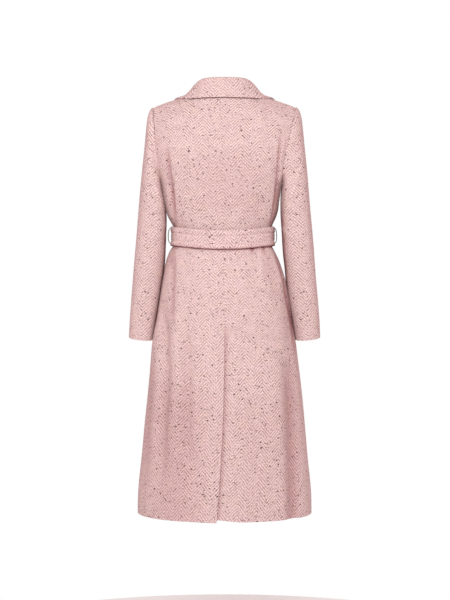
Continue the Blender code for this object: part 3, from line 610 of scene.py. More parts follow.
def wool(name, ground, shade, fleck):
    """Herringbone wool: soft slanting lines that turn back at every column, flecks and nap."""
    mat, tree, shader = material(name, 0.95)
    nodes, links = tree.nodes, tree.links
    shader.inputs["Specular IOR Level"].default_value = 0.12
    shader.inputs["Sheen Weight"].default_value = 0.08
    shader.inputs["Sheen Roughness"].default_value = 0.50
    shader.inputs["Sheen Tint"].default_value = (1.0, 0.84, 0.82, 1.0)

    def number(kind, *values):
        node = nodes.new("ShaderNodeMath")
        node.operation = kind
        for slot, value in enumerate(values):
            if isinstance(value, (int, float)):
                node.inputs[slot].default_value = value
            else:
                links.new(value, node.inputs[slot])
        return node.outputs[0]

    def speckle(vector, scale, detail, rough=0.5):
        node = nodes.new("ShaderNodeTexNoise")
        node.inputs["Scale"].default_value = scale
        node.inputs["Detail"].default_value = detail
        node.inputs["Roughness"].default_value = rough
        links.new(vector, node.inputs["Vector"])
        return node.outputs["Fac"]

    def spread(value, low, high, out_low=0.0, out_high=1.0):
        node = nodes.new("ShaderNodeMapRange")
        node.clamp = True
        links.new(value, node.inputs["Value"])
        for slot, limit in enumerate((low, high, out_low, out_high), start=1):
            node.inputs[slot].default_value = limit
        return node.outputs["Result"]

    def squeeze(vector, scale, rotate):
        node = nodes.new("ShaderNodeMapping")
        node.inputs["Scale"].default_value = scale
        node.inputs["Rotation"].default_value = (0.0, 0.0, rotate)
        links.new(vector, node.inputs["Vector"])
        return node.outputs["Vector"]

    place = nodes.new("ShaderNodeUVMap")
    place.uv_map = "Weave"
    laid = place.outputs["UV"]
    parts = nodes.new("ShaderNodeSeparateXYZ")
    links.new(laid, parts.inputs["Vector"])

    # the slanting lines turn back at every column, and neither lines nor columns run quite true
    sway = number("MULTIPLY_ADD", speckle(laid, 24.0, 2.0), 0.0060, parts.outputs["X"])
    turned = number("PINGPONG", sway, COLUMN_WIDE)
    lift = number("MULTIPLY_ADD", speckle(laid, 90.0, 2.0), 0.0034, parts.outputs["Y"])
    run = number("MULTIPLY_ADD", turned, 1.13, lift)
    wave = number("SINE", number("MULTIPLY", run, 2 * math.pi / LINES_APART))
    line = spread(wave, -0.55, 0.90)
    # the lines fade in and out along their run, and each yarn is a little darker or paler
    broken = spread(speckle(laid, 300.0, 3.0, 0.65), 0.36, 0.62, 0.10, 1.15)
    patch = spread(speckle(laid, 38.0, 2.0), 0.34, 0.66, 0.66, 1.06)
    strength = number("MULTIPLY", number("MULTIPLY", line, broken), number("MULTIPLY", patch, 1.04))
    peach = (min(ground[0] * 1.01, 1.0), ground[1] * 1.005, ground[2] * 0.985)
    lilac = (ground[0] * 0.985, ground[1] * 0.975, ground[2] * 1.010)
    tint = mix(tree, spread(speckle(laid, 30.0, 3.0), 0.36, 0.64), peach, lilac)
    colour = mix(tree, strength, tint, shade)
    nap = spread(speckle(laid, 430.0, 3.0, 0.75), 0.32, 0.68, 0.53, 1.40)
    cloudy = spread(speckle(laid, 120.0, 2.0), 0.30, 0.70, 0.93, 1.05)
    light = nodes.new("ShaderNodeCombineXYZ")
    for slot in range(3):
        links.new(number("MULTIPLY", nap, cloudy), light.inputs[slot])
    colour = mix(tree, 1.0, colour, light.outputs["Vector"], "MULTIPLY")

    # painted shade: where the mesh's shade attribute is high, in creases, beside the vent, under the
    # belt and along contact lines, the wool is made darker and pinker, and darker still where it is
    # highest
    painted_shade_input = nodes.new("ShaderNodeAttribute")
    painted_shade_input.attribute_name = "PaintedShade"
    deeper = mix(tree, 1.0, colour, (0.55, 0.34, 0.35), "MULTIPLY")
    colour = mix(tree, spread(painted_shade_input.outputs["Fac"], 0.0, 1.6), colour, deeper)
    deepest = mix(tree, 1.0, colour, (0.52, 0.30, 0.31), "MULTIPLY")
    colour = mix(tree, spread(painted_shade_input.outputs["Fac"], 1.6, 3.2), colour, deepest)

    # dark flecks of unscoured yarn, a few strong ones and more that are half hidden in the nap
    flecks = table("scale long chance small more depth", [
        (80.0, 0.72, 0.185, 0.084, 0.060, 1.0),
        (118.0, 0.60, 0.230, 0.085, 0.100, 0.78),
        (165.0, 0.80, 0.320, 0.080, 0.140, 0.36),
    ])
    for kind in flecks:
        long = kind["long"]
        cells = nodes.new("ShaderNodeTexVoronoi")
        cells.voronoi_dimensions = "2D"
        cells.inputs["Scale"].default_value = kind["scale"]
        links.new(squeeze(laid, (long, 1.0, 1.0), 0.3 * long), cells.inputs["Vector"])
        pick = nodes.new("ShaderNodeSeparateColor")
        links.new(cells.outputs["Color"], pick.inputs["Color"])
        chosen = number("LESS_THAN", pick.outputs["Red"], kind["chance"])
        reach = number("MULTIPLY_ADD", pick.outputs["Green"], kind["more"], kind["small"])
        inside = number("LESS_THAN", cells.outputs["Distance"], reach)
        shown = number("MULTIPLY", number("MULTIPLY", chosen, inside), kind["depth"])
        colour = mix(tree, shown, colour, fleck)
    links.new(colour, shader.inputs["Base Color"])

    bump = nodes.new("ShaderNodeBump")
    bump.inputs["Strength"].default_value = 0.45
    bump.inputs["Distance"].default_value = 0.0008
    fuzz = number("MULTIPLY", speckle(laid, 400.0, 3.0, 0.65), 1.4)
    links.new(number("SUBTRACT", fuzz, number("MULTIPLY", line, 0.40)), bump.inputs["Height"])
    links.new(bump.outputs["Normal"], shader.inputs["Normal"])
    return mat


FLECK = (0.062, 0.029, 0.029)
pink_wool = wool("pink herringbone wool", (0.902, 0.770, 0.744), (0.415, 0.266, 0.256), FLECK)

back_rows = {}
for side, word in ((1, "left"), (-1, "right")):
    rows, weave = back_panel(side)
    seams = (None, 0.0005 if side > 0 else 0.0001, None, 0.0006)
    rows, painted_shades = press(rows, side > 0, seams, back_depth)
    back_rows[side] = rows
    # painted shadow on the right half, beside the vent's edge where the left half laps over it
    for row, dark in zip(rows, painted_shades):
        for i, p in enumerate(row):
            away = back_middle_x(p.z) - p.x
            if side < 0 and away > -0.002:
                dark[i] += 0.75 * bell(away, 0, 0.007) * soft(VENT_TOP - p.z, -0.010, 0.022)
    piece = cloth(
        f"back_{word}_cloth", rows, weave, flip=side > 0, painted_shades=painted_shades,
        sewn=("first", "last", "top"), open_below=VENT_TOP,
    )
    piece.data.materials.append(pink_wool)
    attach(piece, "root")
    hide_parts(f"back_{word}")

# ---------------------------------------------------------------- the two fronts
# One front a side, cut from the same wool in one piece from the shoulder to the hem. The right
# one laps far over the left, and both roll back above the break into the lapels.
BREAK_X = 0.070
BREAK_Z = -0.330
WRAP_OUT = 0.0048
WRAP_IN = 0.0038


def front_edge_x(side, z):
    """The free edge of a front: the roll line above the break, a straight edge below."""
    if z >= BREAK_Z:
        return side * (NECK_HALF - (NECK_HALF + BREAK_X) * z / BREAK_Z)
    return -side * (BREAK_X + 0.035 * soft(BREAK_Z - z, 0.0, 0.80))


def front_panel(side):
    """Rows of one front, from its free edge to the side seam or armhole, and its weave."""
    shares = close_steps(count=88, long=0.30)
    rows = []
    for z in levels():
        begin = angle_for_x(side, z, front_edge_x(side, z))
        end = armhole_angle(side, -1, z)
        line = []
        for k in range(LINE_STEPS + 1):
            angle = begin + (end - begin) * k / LINE_STEPS
            x = body_point(side, -1, z, angle).x
            share = soft(-side * x, -0.135, -0.075)
            out = (WRAP_OUT if side < 0 else -WRAP_IN) * share
            line.append(body_point(side, -1, z, angle, out))
        long = lengths(line)[-1]
        rows.append(resample(line, [s * (1 - 0.5 * SEAM / long) for s in shares]))
    neck_end = Vector((side * (NECK_HALF + 0.001), -0.5 * SEAM, 0.0))
    tip = Vector((side * SHOULDER_X, -0.5 * SEAM, SHOULDER_Z))
    top = resample(shoulder_line(neck_end, tip, SHOULDER_STEPS), shares)
    roundness = [0.55 + 0.45 * soft(s * 14, 0, 7) for s in shares]
    rows += yoke(rows[-1], top, roundness)
    return rows, lay_flat(rows, side, [row[0].x for row in rows])


def front_depth(p):
    """The same for the fronts, over which the belt dips less."""
    away = 1 - bell(p.z - BELT_Z, -0.004, 0.030)
    deep, tone = crease_depth_and_painted_shade(-1, p.x, p.z)
    return deep * away, tone + painted_belt_shadow(p, 0.5 * BELT_DIP)


front_rows = {}
for side, word in ((1, "left"), (-1, "right")):
    rows, weave = front_panel(side)
    rows, painted_shades = press(rows, side < 0, (None, 0.0005, None, 0.0006), front_depth)
    front_rows[side] = rows
    edges = ("last", "top")
    piece = cloth(f"front_{word}_cloth", rows, weave, flip=side < 0, sewn=edges, painted_shades=painted_shades)
    piece.data.materials.append(pink_wool)
    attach(piece, "root")
    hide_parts(f"front_{word}")


def surface(grids):
    """A tree of the outer faces of several grids, to lay other cloth on."""
    verts, faces = [], []
    for rows, flip in grids:
        base = len(verts)
        wide = len(rows[0])
        for row in rows:
            verts.extend(row)
        for r in range(len(rows) - 1):
            for i in range(wide - 1):
                a = base + r * wide + i
                quad = [a, a + 1, a + 1 + wide, a + wide]
                faces.append(quad[::-1] if flip else quad)
    return BVHTree.FromPolygons(verts, faces)


left_skin = surface([(front_rows[1], False)])
right_skin = surface([(front_rows[-1], True)])
body_skin = surface([
    (back_rows[1], True), (back_rows[-1], False),
    (front_rows[1], False), (front_rows[-1], True),
])

# ---------------------------------------------------------------- the sleeves
# Each sleeve is an upper and an under part, sewn together along two seams low on the arm's
# front and back, and set into the armhole. The hem at the cuff is turned up inside.
SLEEVE_LONG = 0.62
SLEEVE_SQUARE = 2.6
UNDER_SEAM_Z = -0.2240
EASED = 1.06
# Sleeve rings from the shoulder down: the outer and inner edge, half depth and its middle, how
# far the inner edge is tucked in on the left and the right, and the fall towards the back.
SLEEVE = table("xo zo xi zi deep mid left right tilt", [
    (0.1970, -0.0482, 0.1675, -0.256, 0.061, 0.001, 0.0002, 0.0128, 0.0),
    (0.2026, -0.067, 0.1672, -0.265, 0.063, 0.002, 0.0008, 0.0138, 0.0),
    (0.2065, -0.099, 0.1662, -0.279, 0.065, 0.002, 0.0020, 0.0140, 0.0),
    (0.2114, -0.144, 0.164, -0.3, 0.0655, 0.001, 0.0032, 0.0122, 0.0),
    (0.2168, -0.195, 0.1618, -0.326, 0.0645, 0.0, 0.0040, 0.0095, 0.0),
    (0.2219, -0.25, 0.1606, -0.356, 0.063, -0.002, 0.003, 0.006, 0.0),
    (0.227, -0.308, 0.1603, -0.39, 0.0615, -0.005, 0.001, 0.003, 0.0),
    (0.2326, -0.37, 0.1606, -0.428, 0.06, -0.009, 0.0, 0.001, 0.01),
    (0.2382, -0.433, 0.164, -0.468, 0.058, -0.014, 0.0, 0.0, 0.02),
    (0.2436, -0.495, 0.1705, -0.513, 0.056, -0.019, 0.0, 0.0025, 0.04),
    (0.2488, -0.554, 0.178, -0.562, 0.054, -0.024, 0.0, 0.0028, 0.07),
    (0.2529, -0.606, 0.185, -0.61, 0.0525, -0.029, -0.001, 0.0012, 0.1),
    (0.2557, -0.6505, 0.1912, -0.657, 0.051, -0.033, -0.002, 0.0, 0.13),
])
# Creases of the sleeves: turn round the arm in degrees from the outer line towards the back,
# and share of the way down, at the two ends, with width in metres and depth.
SLEEVE_CREASES = table("side turn0 run0 turn1 run1 wide deep", [
    (1, 60, 0.30, 130, 0.36, 0.010, 0.0016),
    (1, 100, 0.52, 160, 0.46, 0.012, 0.0020),
    (1, 300, 0.50, 200, 0.55, 0.012, 0.0024),
    (1, 310, 0.60, 210, 0.53, 0.011, 0.0020),
    (-1, 55, 0.34, 135, 0.42, 0.011, 0.0018),
    (-1, 110, 0.56, 165, 0.48, 0.012, 0.0020),
    (-1, 305, 0.47, 205, 0.54, 0.012, 0.0024),
    (-1, 300, 0.62, 215, 0.55, 0.011, 0.0018),
])


def smooth_line(points, count):
    """A smooth curve through points, at even steps of the row number."""
    result = []
    last = len(points) - 1
    for k in range(count + 1):
        where = last * k / count
        i = min(int(where), last - 1)
        t = where - i
        p0, p1 = points[max(i - 1, 0)], points[i]
        p2, p3 = points[i + 1], points[min(i + 2, last)]
        result.append(0.5 * (
            2 * p1 + (p2 - p0) * t + (2 * p0 - 5 * p1 + 4 * p2 - p3) * t**2
            + (3 * p1 - p0 - 3 * p2 + p3) * t**3
        ))
    return result


def armhole_line(side, face):
    """The armhole's edge from the shoulder point down to the underarm on one face."""
    rows = back_rows[side] if face > 0 else front_rows[side]
    start = min(range(len(rows)), key=lambda k: abs(rows[k][-1].z - UNDERARM_Z))
    line = []
    for p in reversed([row[-1] for row in rows[start:]]):
        low = 1 - soft(p.z, UNDERARM_Z, UNDERARM_Z + 0.045)
        line.append(p + Vector((side * (0.0003 + 0.0025 * low), 0, 0.0008 * low)))
    return line


def sleeve_rings(side):
    """Closed rings of points down a sleeve, the turn of each point, and where its seams are."""
    back, front = armhole_line(side, 1), armhole_line(side, -1)
    middle = (back[-1] + front[-1]) / 2
    crown = (back[0] + front[0]) / 2
    first = [crown] + back[1:-1] + [middle] + front[-2:0:-1]
    turns = [[math.pi * t / lengths(line)[-1] for t in lengths(line)] for line in (back, front)]
    angles = turns[0][:-1] + [math.pi] + [2 * math.pi - t for t in turns[1][-2:0:-1]]
    centre, reach = (crown + middle) / 2, (crown - middle) / 2
    deepest = max(abs(p.y) for p in first)
    shape = []
    for p in first:
        up = (p - centre).dot(reach) / reach.length_squared
        shape.append((up, p.y / deepest, p.x - centre.x - reach.x * up))
    lean = 0.008 if side < 0 else 0.0
    power = 2.0 / SLEEVE_SQUARE
    rings = [first]
    for number, row in enumerate(SLEEVE):
        inside = row["xi"] - row["left" if side > 0 else "right"]
        centre = Vector((side * (row["xo"] + inside) / 2, 0, (row["zo"] + row["zi"]) / 2))
        reach = Vector((side * (row["xo"] - inside) / 2, 0, (row["zo"] - row["zi"]) / 2))
        fade = lean * (1 - soft(number, 3, len(SLEEVE)))
        turned = soft(number, -0.5, 5.0)
        ring = []
        for turn, (up, depth, stand) in zip(angles, shape):
            c, s = math.cos(turn), math.sin(turn)
            c = up + (math.copysign(abs(c)**power, c) - up) * turned
            s = depth + (math.copysign(abs(s)**power, s) - depth) * turned
            point = centre + reach * c
            point.x += (stand + side * 0.0050 * abs(depth)) * (1 - turned)
            deep = deepest + (row["deep"] - deepest) * soft(number, -1.0, 4.0)
            point.y = (row["mid"] + fade) * turned + deep * s
            point.z -= row["tilt"] * deep * s
            ring.append(point)
        rings.append(ring)
    count = 11 * len(SLEEVE)
    columns = [smooth_line([ring[i] for ring in rings], count) for i in range(len(first))]
    rings = [[column[r] for column in columns] for r in range(len(columns[0]))]
    half = len(back) - 1
    seam = min(range(half), key=lambda k: abs(back[k].z - UNDER_SEAM_Z) + (back[k].z > -0.16))
    return rings, angles, half - seam


def crossing(column, z):
    """Where a line of points down the arm passes a height, or None above its start."""
    if z > column[0].z:
        return None
    for a, b in zip(column, column[1:]):
        if a.z >= z > b.z:
            return a.lerp(b, (a.z - z) / (a.z - b.z))
    a, b = column[-2], column[-1]
    return a.lerp(b, (a.z - z) / (a.z - b.z))


def level_arcs(columns, step=0.004):
    """How far round the arm each column is from the first, measured level at even heights."""
    top = columns[0][0].z
    low = min(column[-1].z for column in columns)
    arcs = [{} for _ in columns]
    for number in range(int((top - low) / step) + 2):
        z = top - number * step
        far, last = 0.0, None
        for k, column in enumerate(columns):
            place = crossing(column, z)
            if place is None:
                break
            if last is not None:
                far += (place - last).length
            last = place
            arcs[k][number] = far
    return top, step, arcs


def arc_at(measured, k, z):
    """The measured arc of a column at a height, between or just beyond its measured heights."""
    top, step, arcs = measured
    known = arcs[k]
    first = min(known)
    where = (top - z) / step
    number = min(max(int(where), first), max(known) - 1)
    return known[number] + (known[number + 1] - known[number]) * (where - number)


for side, word in ((1, "left"), (-1, "right")):
    rings, angles, offset = sleeve_rings(side)
    around = len(rings[0])
    half = around // 2
    creases = [crease for crease in SLEEVE_CREASES if crease["side"] == side]
    normals = grid_normals(rings, side < 0, True)
    pressed = []
    for r, (ring, line) in enumerate(zip(rings, normals)):
        run = r / (len(rings) - 1)
        new = []
        for i, (p, n) in enumerate(zip(ring, line)):
            turn = math.degrees(angles[i])
            push = 0.0010 * noise.noise(Vector((p.z * 9.0, turn / 40.0, side * 5.0)))
            for crease in creases:
                share = (turn - crease["turn0"]) / (crease["turn1"] - crease["turn0"])
                centre = crease["run0"] + (crease["run1"] - crease["run0"]) * share
                along = soft(share, -0.25, 0.25) * (1 - soft(share, 0.75, 1.25))
                across = (run - centre) * SLEEVE_LONG / crease["wide"]
                push += crease["deep"] * along * bell(across, 0, 1)
            push *= soft(run, 0.0, 0.05)
            # the head's seam is drawn in on the left, and the cloth stands full beside both
            down = run * SLEEVE_LONG
            push += (0.0003 if side > 0 else 0.0) * bell(down, 0, 0.003)
            push -= 0.0022 * soft(-p.z, 0.07, 0.12) * bell(down, 0.0065, 0.0045)
            new.append(p - n * push)
        pressed.append(new)
    # the grain runs straight down the arm, and the eased cloth's lines lie closer than the body's
    grain = (pressed[-1][0] - pressed[20][0]).normalized()
    grain_places = []
    for ring in pressed:
        turn_long = [0.0]
        for k in range(around):
            step = ring[(k + 1) % around] - ring[k]
            turn_long.append(turn_long[-1] + (step - grain * step.dot(grain)).length)
        place = [(turn_long[k], -ring[k % around].dot(grain) * EASED) for k in range(around + 1)]
        grain_places.append(place)
    backward = [[ring[k] for ring in pressed] for k in range(half + 1)]
    forward = [[ring[-k % around] for ring in pressed] for k in range(half + 1)]
    behind, before = level_arcs(backward), level_arcs(forward)
    cuts = (("under", half - offset, half + offset, 0.105, 0.47),
            ("upper", half + offset, 2 * half + half - offset, 0.315, 0.64))
    for part, first, last, flat_wide, flat_long in cuts:
        rows, weave = [], []
        for r, ring in enumerate(pressed):
            row = [ring[k % around].copy() for k in range(first, last + 1)]
            row[0] += (row[1] - row[0]).normalized() * 0.5 * SEAM
            row[-1] += (row[-2] - row[-1]).normalized() * 0.5 * SEAM
            row[0] -= normals[r][first % around] * 0.0005
            row[-1] -= normals[r][last % around] * 0.0005
            rows.append(row)
            places = grain_places[r]
            line = []
            for k in range(first, last + 1):
                if part == "under":
                    line.append(places[k])
                elif k < around:
                    line.append((-arc_at(before, around - k, ring[k].z), places[k][1]))
                else:
                    j = k - around
                    line.append((arc_at(behind, j, ring[j].z), places[j][1]))
            weave.append(line)
        edges = ("first", "last", "bottom")
        # painted shadow along the sleeve's inner line, where the arm hangs against the body
        painted_shades = []
        for r in range(len(pressed)):
            lower = soft(r / (len(pressed) - 1), 0.25, 0.45)
            turns = [math.degrees(angles[k % around]) - 180 for k in range(first, last + 1)]
            painted_shades.append([2.8 * lower * bell(turn, 0, 25) for turn in turns])
        name = f"sleeve_{word}_{part}_cloth"
        piece = cloth(name, rows, weave, flip=side < 0, sewn=edges, painted_shades=painted_shades)
        piece.data.materials.append(pink_wool)
        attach(piece, "root")
        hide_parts(f"sleeve_{word}_{part}")

# ---------------------------------------------------------------- the collar
# A wide notched collar, cut in one piece from gorge to gorge and folded over its own stand.
# Its fall lies over the back's neck seam, and its outer edge is turned and pressed.
COLLAR = table("nx ny nz rx ry rz ex ey ez", [
    (0.0000, 0.0595, -0.0070, 0.0000, 0.0640, 0.0330, 0.0000, 0.0830, -0.0215),
    (0.0290, 0.0555, -0.0060, 0.0285, 0.0605, 0.0330, 0.0410, 0.0790, -0.0215),
    (0.0540, 0.0430, -0.0035, 0.0530, 0.0480, 0.0322, 0.0810, 0.0610, -0.0208),
    (0.0710, 0.0240, 0.0000, 0.0670, 0.0260, 0.0265, 0.1120, 0.0360, -0.0190),
    (0.0785, 0.0000, 0.0022, 0.0725, 0.0010, 0.0185, 0.1305, 0.0000, -0.0170),
])
COLLAR_ENDS = table("down rise ex ey ez", [
    (0.018, 0.0130, 0.1380, -0.036, -0.0290),
    (0.044, 0.0100, 0.1370, -0.068, -0.0460),
    (0.072, 0.0085, 0.1160, -0.098, -0.0660),
])
COLLAR_STEPS = 84
COLLAR_ACROSS = 36
FALL = 20
GORGE_DOWN = 0.072
GORGE_LONG = 0.046
SLANT = Vector((0.911, 0.0, -0.411))


def roll_line(side, down):
    """The place on a front's roll line at a distance below the neck point."""
    edge = [row[0] for row in front_rows[side]]
    for a, b in zip(edge, edge[1:]):
        if a.z <= -down <= b.z:
            return a.lerp(b, (-down - a.z) / (b.z - a.z))
    return edge[-1]


def beside(side, down):
    """Direction from the roll line out over the front's cloth, and the way off the cloth."""
    rows = front_rows[side]
    i = min(range(4, len(rows) - 4), key=lambda k: abs(rows[k][0].z + down))
    out = (rows[i][5] - rows[i][0]).normalized()
    along = (rows[i + 4][0] - rows[i - 4][0]).normalized()
    off = along.cross(out) * (-side)
    return out, off.normalized()


def seat(tree, point, lift):
    """The point, moved out where it would be closer to the cloth than the lift."""
    hit, normal, _, _ = tree.find_nearest(point)
    gap = (point - hit).dot(normal)
    return point + normal * (lift - gap) if gap < lift else point


def collar_side(side, count):
    """Stations of one half of the collar: neck seam, roll, outer edge and the way outwards."""
    necks, rolls, edges, outs = [], [], [], []
    for row in COLLAR:
        necks.append(Vector((side * row["nx"], row["ny"], row["nz"])))
        rolls.append(Vector((side * row["rx"], row["ry"], row["rz"])))
        edges.append(Vector((side * row["ex"], row["ey"], row["ez"])))
        flat = edges[-1] - rolls[-1]
        outs.append(Vector((flat.x, flat.y, 0.0)).normalized())
    for row in COLLAR_ENDS:
        at = roll_line(side, row["down"])
        out, off = beside(side, row["down"])
        necks.append(at + off * 0.0016)
        rolls.append(at + off * row["rise"] + out * 0.0015)
        edges.append(Vector((side * row["ex"], row["ey"], row["ez"])))
        outs.append(out)
    return [smooth_line(line, count) for line in (necks, rolls, edges, outs)]


def collar_section(neck, roll, edge, out, notch, bend, hollow, lift):
    """Points across the collar: up the stand, over the roll and down the fall."""
    out = out.normalized()
    up = roll - neck
    drop = up.normalized() * min(0.0055, 0.28 * up.length)
    start = roll + out * 0.0110 - drop
    line = [neck, neck + up * 0.42, neck + up * 0.78, neck + up * 0.95 + out * 0.0007]
    line += [roll + out * 0.0038, start]
    for share in (0.28, 0.55, 0.80, 1.0):
        point = start.lerp(edge, share)
        if share < 0.6:
            turned = start.lerp(notch, share / 0.55)
        else:
            turned = notch.lerp(edge, (share - 0.55) / 0.45)
        point = point.lerp(turned, bend)
        point.z -= hollow * math.sin(math.pi * share**0.9)
        line.append(point)
    placed = []
    for i, p in enumerate(smooth_line(line, COLLAR_ACROSS)):
        if i < FALL:
            heel = p + out * WALL
            placed.append(p + seat(body_skin, heel, 0.0012) - heel)
        else:
            placed.append(seat(body_skin, p, lift))
    return placed


stations = {1: [], -1: []}
for side in (1, -1):
    lines = collar_side(side, COLLAR_STEPS)
    notch = roll_line(side, GORGE_DOWN) + Vector((side * SLANT.x, 0, SLANT.z)) * GORGE_LONG
    for i in range(COLLAR_STEPS + 1):
        place = i / 6  # half stations of the tables, from the middle of the back
        bend = soft(place, 10, 13.999)
        hollow = 0.0052 * soft(place, 2, 8)
        lift = 0.0045 + 0.0014 * soft(place, 8, 11)
        sizes = [line[i] for line in lines]
        stations[side].append(collar_section(*sizes, notch, bend, hollow, lift))
rows = stations[1][::-1] + stations[-1][1:]
# neighbouring sections of the roll and the fall are eased into each other, six times over
for _ in range(6):
    eased = [list(row) for row in rows]
    for r in range(1, len(rows) - 1):
        for i in range(14, COLLAR_ACROSS + 1):
            eased[r][i] = rows[r][i] * 0.5 + (rows[r - 1][i] + rows[r + 1][i]) * 0.25
    rows = eased
for row in rows:
    row[FALL:] = [seat(body_skin, p, 0.0034) for p in row[FALL:]]
middle = len(rows) // 2
along = lengths([row[24] for row in rows])
weave = []
for r, row in enumerate(rows):
    down = lengths(row)
    weave.append([(along[r] - along[middle], -d) for d in down])
piece = cloth("collar_cloth", rows, weave, flip=False, thickness=0.0030, soft_edge=0.0011)
piece.data.materials.append(pink_wool)
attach(piece, "root")
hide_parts("collar")

# ---------------------------------------------------------------- the lapels
# The turned-back tops of the fronts, faced with the same wool and pressed along the roll line.
# Each joins the collar at the gorge seam, above the notch, and tapers away at the break.


def lapel_rows(side):
    """One lapel: from the roll line out over its front, lying on the cloth."""
    skin = left_skin if side > 0 else right_skin
    slant = Vector((side * SLANT.x, 0, SLANT.z))
    start = GORGE_DOWN + 0.0035
    steps, across = 70, 22
    rows = []
    for i in range(steps + 1):
        run = i / steps
        down = start + (-BREAK_Z - 0.0005 - start) * run
        at = roll_line(side, down)
        width = 0.088 * (1 - run)**0.60 + 0.005
        row = []
        for k in range(across + 1):
            share = k / across
            flat = at + slant * width * share
            hit, normal, _, _ = skin.ray_cast(Vector((flat.x, -1.0, flat.z)), Vector((0, 1, 0)))
            if hit is None:
                hit, normal, _, _ = skin.find_nearest(Vector((flat.x, at.y, flat.z)))
            roll = 0.0016 * math.sin(math.pi * min(1.0, share * 2.2))
            row.append(hit + normal * (0.0047 + roll * (1 - run)))
        rows.append(row)
    return rows


for side, word in ((1, "left"), (-1, "right")):
    rows = lapel_rows(side)
    across = lengths([row[0] for row in rows])
    weave = [[(d, -across[r]) for d in lengths(row)] for r, row in enumerate(rows)]
    name = f"lapel_{word}_cloth"
    piece = cloth(name, rows, weave, flip=side > 0, thickness=0.0028, soft_edge=0.001)
    piece.data.materials.append(pink_wool)
    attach(piece, "root")
    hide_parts(f"lapel_{word}")

# ---------------------------------------------------------------- the belt
# A soft band 49 mm wide of the same wool, folded double and stitched near both edges. It goes
# round the waist through the side seams' thread loops and is tied in front.
BELT_TALL = 0.049
BELT_WALL = 0.003
BELT_ROWS = 20
BELT_STEPS = 264
BELT_OFF = 0.0021
WAIST_DEEP = 0.101

belt_wool = wool("belt herringbone wool", (0.908, 0.770, 0.748), (0.435, 0.274, 0.266), FLECK)


def belt_rows():
    """Rows of the band round the waist, on the cloth of all four panels."""
    rows = []
    for level in range(BELT_ROWS + 1):
        share = 0.5 - level / BELT_ROWS
        ridge = 0.0010 * (bell(share, 0.34, 0.10) + bell(share, -0.40, 0.09))
        stitched = 0.0016 * (bell(share, 0.19, 0.035) + bell(share, -0.23, 0.035))
        row = []
        for k in range(BELT_STEPS):
            turn = 2 * math.pi * k / BELT_STEPS
            side = 1 if math.sin(turn) >= 0 else -1
            face = 1 if math.cos(turn) >= 0 else -1
            angle = math.acos(min(1.0, abs(math.cos(turn))))
            dip = (BELT_DIP if face > 0 else 0.5 * BELT_DIP) * math.cos(turn)**2
            z = BELT_Z - dip + BELT_TALL * share
            base = body_point(side, face, BELT_Z - dip, angle)
            point = body_point(side, face, z, angle)
            stand = BELT_WALL + BELT_OFF
            if face < 0:
                stand += WRAP_OUT * soft(-abs(base.x), -0.135, -0.085)
            out = Vector((base.x / WAIST_HALF**2, base.y / WAIST_DEEP**2, 0)).normalized()
            flat = Vector((base.x, base.y, z))
            high = max((point - flat).dot(out), 0.0)
            uneven = 0.0009 * noise.noise(Vector((base.x * 28, base.y * 28, share * 2.0)))
            wander = 0.0010 * noise.noise(Vector((base.x * 16, base.y * 16, 7.0)))
            place = flat + out * (stand + high + ridge - stitched + max(uneven, -0.0006))
            place.z += wander
            row.append(place)
        rows.append(row)
    return rows


rows = belt_rows()
middle_row = rows[BELT_ROWS // 2]
round_long = lengths(middle_row + middle_row[:1])
weave = [[(s, -BELT_TALL * r / BELT_ROWS) for s in round_long] for r in range(BELT_ROWS + 1)]
# painted shadow: the wool is darker and pinker along the belt's lower edge
painted_shades = [[1.5 * bell(r / BELT_ROWS, 0, 0.05)] * BELT_STEPS for r in range(BELT_ROWS + 1)]
rows.reverse()
weave.reverse()
piece = cloth("belt_cloth", rows, weave, flip=False, closed=True, thickness=BELT_WALL, painted_shades=painted_shades)
piece.data.materials.append(belt_wool)
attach(piece, "root")
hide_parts("belt")

# ---------------------------------------------------------------- the knot
# The belt crosses over itself in front and is pulled through once, so a flat soft knot of four
# thicknesses of wool sits a little to one side of the middle.


def front_place(x, z, lift):
    """A place on the outermost front cloth, lifted off it."""
    best = None
    for skin in (left_skin, right_skin):
        hit, normal, _, _ = skin.ray_cast(Vector((x, -1.0, z)), Vector((0, 1, 0)))
        if hit is not None and (best is None or hit.y < best[0].y):
            best = (hit, normal)
    return best[0] + best[1] * lift


KNOT_X, KNOT_Z = 0.012, BELT_Z - 0.5 * BELT_DIP
belt_front = front_place(KNOT_X, KNOT_Z, 0).y - 0.0045 - BELT_WALL

choose()
bpy.ops.mesh.primitive_cube_add(size=1.0, location=(0, 0, 0))
knot = bpy.context.object
knot.name = "belt_knot_cloth"
bpy.ops.object.mode_set(mode="EDIT")
bpy.ops.mesh.select_all(action="SELECT")
bpy.ops.mesh.subdivide(number_cuts=23)
bpy.ops.object.mode_set(mode="OBJECT")
for v in knot.data.vertices:
    x, y, z = v.co
    round_off = (1 - 0.46 * (2 * x)**4) * (1 - 0.36 * (2 * z)**4)
    off = x - 0.25 * z + 0.03
    band = math.exp(-(off / 0.27)**4)
    pull = 0.10 * math.cos(9.0 * (z + 0.55 * x)) * (1 - band)
    groove = 0.16 * bell(abs(off), 0.30, 0.035)
    y_front = -0.5 * round_off * (1 + 0.42 * band + pull - groove)
    v.co.x = x * 0.061 * math.sqrt(1 - 0.34 * (2 * z)**2) + 0.003 * z
    v.co.z = z * 0.057 * math.sqrt(1 - 0.26 * (2 * x)**2) * (1 + 0.14 * x)
    v.co.y = (y_front * 2 * abs(y) if y < 0 else 0.5 * y * 0.66) * 0.028
    v.co += Vector((KNOT_X, belt_front - 0.0062, KNOT_Z))
weave = knot.data.uv_layers[0] if knot.data.uv_layers else knot.data.uv_layers.new()
weave.name = "Weave"
